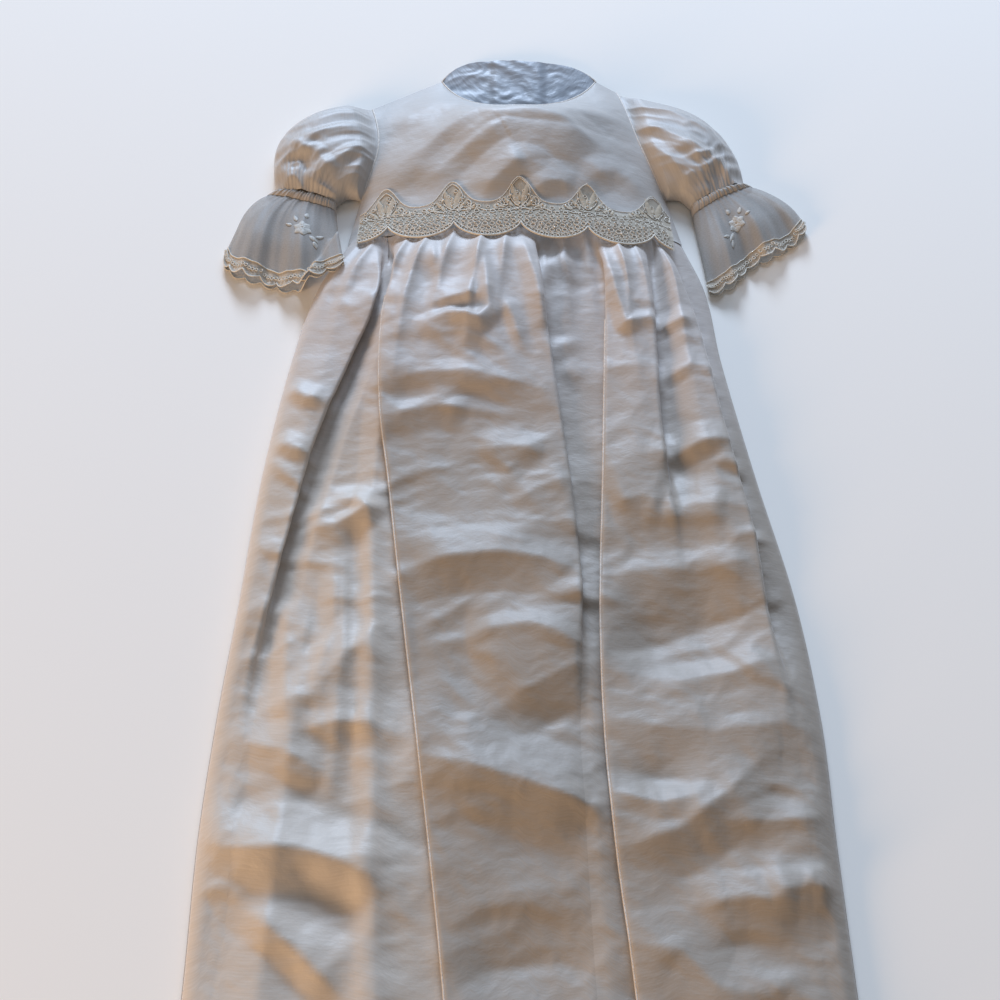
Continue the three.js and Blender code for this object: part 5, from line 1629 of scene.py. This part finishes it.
# %% Flat sizes
ON_SHEET = {
    "waist_lace": [lace_thick, lace_thin, lace_leaves, lace_beads] + lace_eyelets,
    "cuff_lace_left": trims["left"],
    "cuff_lace_right": trims["right"],
    "skirt_front": [pleat_edges],
    "cuff_left": [embroidery["left"], bands["left"]],
    "cuff_right": [embroidery["right"], bands["right"]],
}
RESTS = {"skirt_front": ["skirt_back"], "bodice_front": ["bodice_back_left"], "waist_lace": ["bodice_front"],
         "lining_back": ["bodice_back_left"], "bodice_back_right": ["bodice_back_left"]}
for node_name, (piece, _, _, flat, held) in SHEETS.items():
    rests = [SHEETS[n][0].name for n in RESTS.get(node_name, [])]
    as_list(ON_SHEET.get(node_name, []))
print("cloth in all:", round(sum(flat[0] * flat[1] for _, _, _, flat, _ in SHEETS.values()), 3), "m2")

# %% [markdown]
# The gown lies on a plain pale floor. It is matt, so that it takes no gloss from the lights, and it lies
# half a millimetre under the gown, so that the two never share a surface.

# %% Floor
FLOOR_REACH, FLOOR_LEVEL = 6, -0.0005
floor_mesh = bpy.data.meshes.new("floor")
floor_corners = [(x * FLOOR_REACH, y * FLOOR_REACH, FLOOR_LEVEL)
                 for x, y in ((-1, -1), (1, -1), (1, 1), (-1, 1))]
floor_mesh.from_pydata(floor_corners, [], [(0, 1, 2, 3)])
floor = link("floor", floor_mesh)
floor_paint = bpy.data.materials.new("matt pale paint")
floor_paint.use_nodes = True
base = floor_paint.node_tree.nodes["Principled BSDF"]
base.inputs["Base Color"].default_value = linear("#f3efe8")
base.inputs["Roughness"].default_value = 0.95
base.inputs["Specular IOR Level"].default_value = 0.0
floor_mesh.materials.append(floor_paint)
floor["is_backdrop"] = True
print("floor:", 2 * FLOOR_REACH, "m across")

# %% [markdown]
# A wide cool window stands far behind the neck, so crests shine on the side away from the camera. A weak
# blue light from the same side stands for a pale wall, and tints the top of the gown. A warm light from the
# front left fills the slopes that face the camera. All three are discs, large enough for soft shadows.

# %% Lights
def soft_light(name, place, target, size, watts, colour):
    """A round light at a place in metres, aimed at a target."""
    lamp = bpy.data.lights.new(name, "AREA")
    lamp.shape, lamp.size, lamp.energy, lamp.color = "DISK", size, watts, colour
    held = bpy.data.objects.new(name, lamp)
    bpy.context.scene.collection.objects.link(held)
    held.location = place
    direction = np.array(target, float) - np.array(place, float)
    yaw = math.atan2(direction[1], direction[0]) - math.pi / 2
    pitch = math.atan2(math.hypot(direction[0], direction[1]), -direction[2])
    held.rotation_euler = (pitch, 0, yaw)


soft_light("window", (-0.5, 5.0, 2.15), (0, 0, 0), 1.7, 360, (0.62, 0.77, 1.0))
soft_light("pale wall", (0.4, 1.7, 1.2), (0, 0.3, 0), 1.2, 13, (0.46, 0.67, 1.0))
soft_light("warm fill", (-2.2, -1.9, 0.85), (0, -0.1, 0), 1.1, 62, (1.0, 0.66, 0.38))
world = bpy.data.worlds.new("room")
world.use_nodes = True
sky = world.node_tree.nodes["Background"]
sky.inputs["Color"].default_value = (1.0, 0.96, 0.94, 1)
sky.inputs["Strength"].default_value = 0.22
bpy.context.scene.world = world
bpy.context.scene.view_settings.view_transform = "Standard"
print("lights:", [item.name for item in bpy.data.lights])

# %% Sizes and finish
low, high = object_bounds()
print("sides in mm, packed and dressed:", [[round(1000 * (b - a), 1) for a, b in zip(*pair)]
                                           for pair in ((cad_low, cad_high), (low, high))])
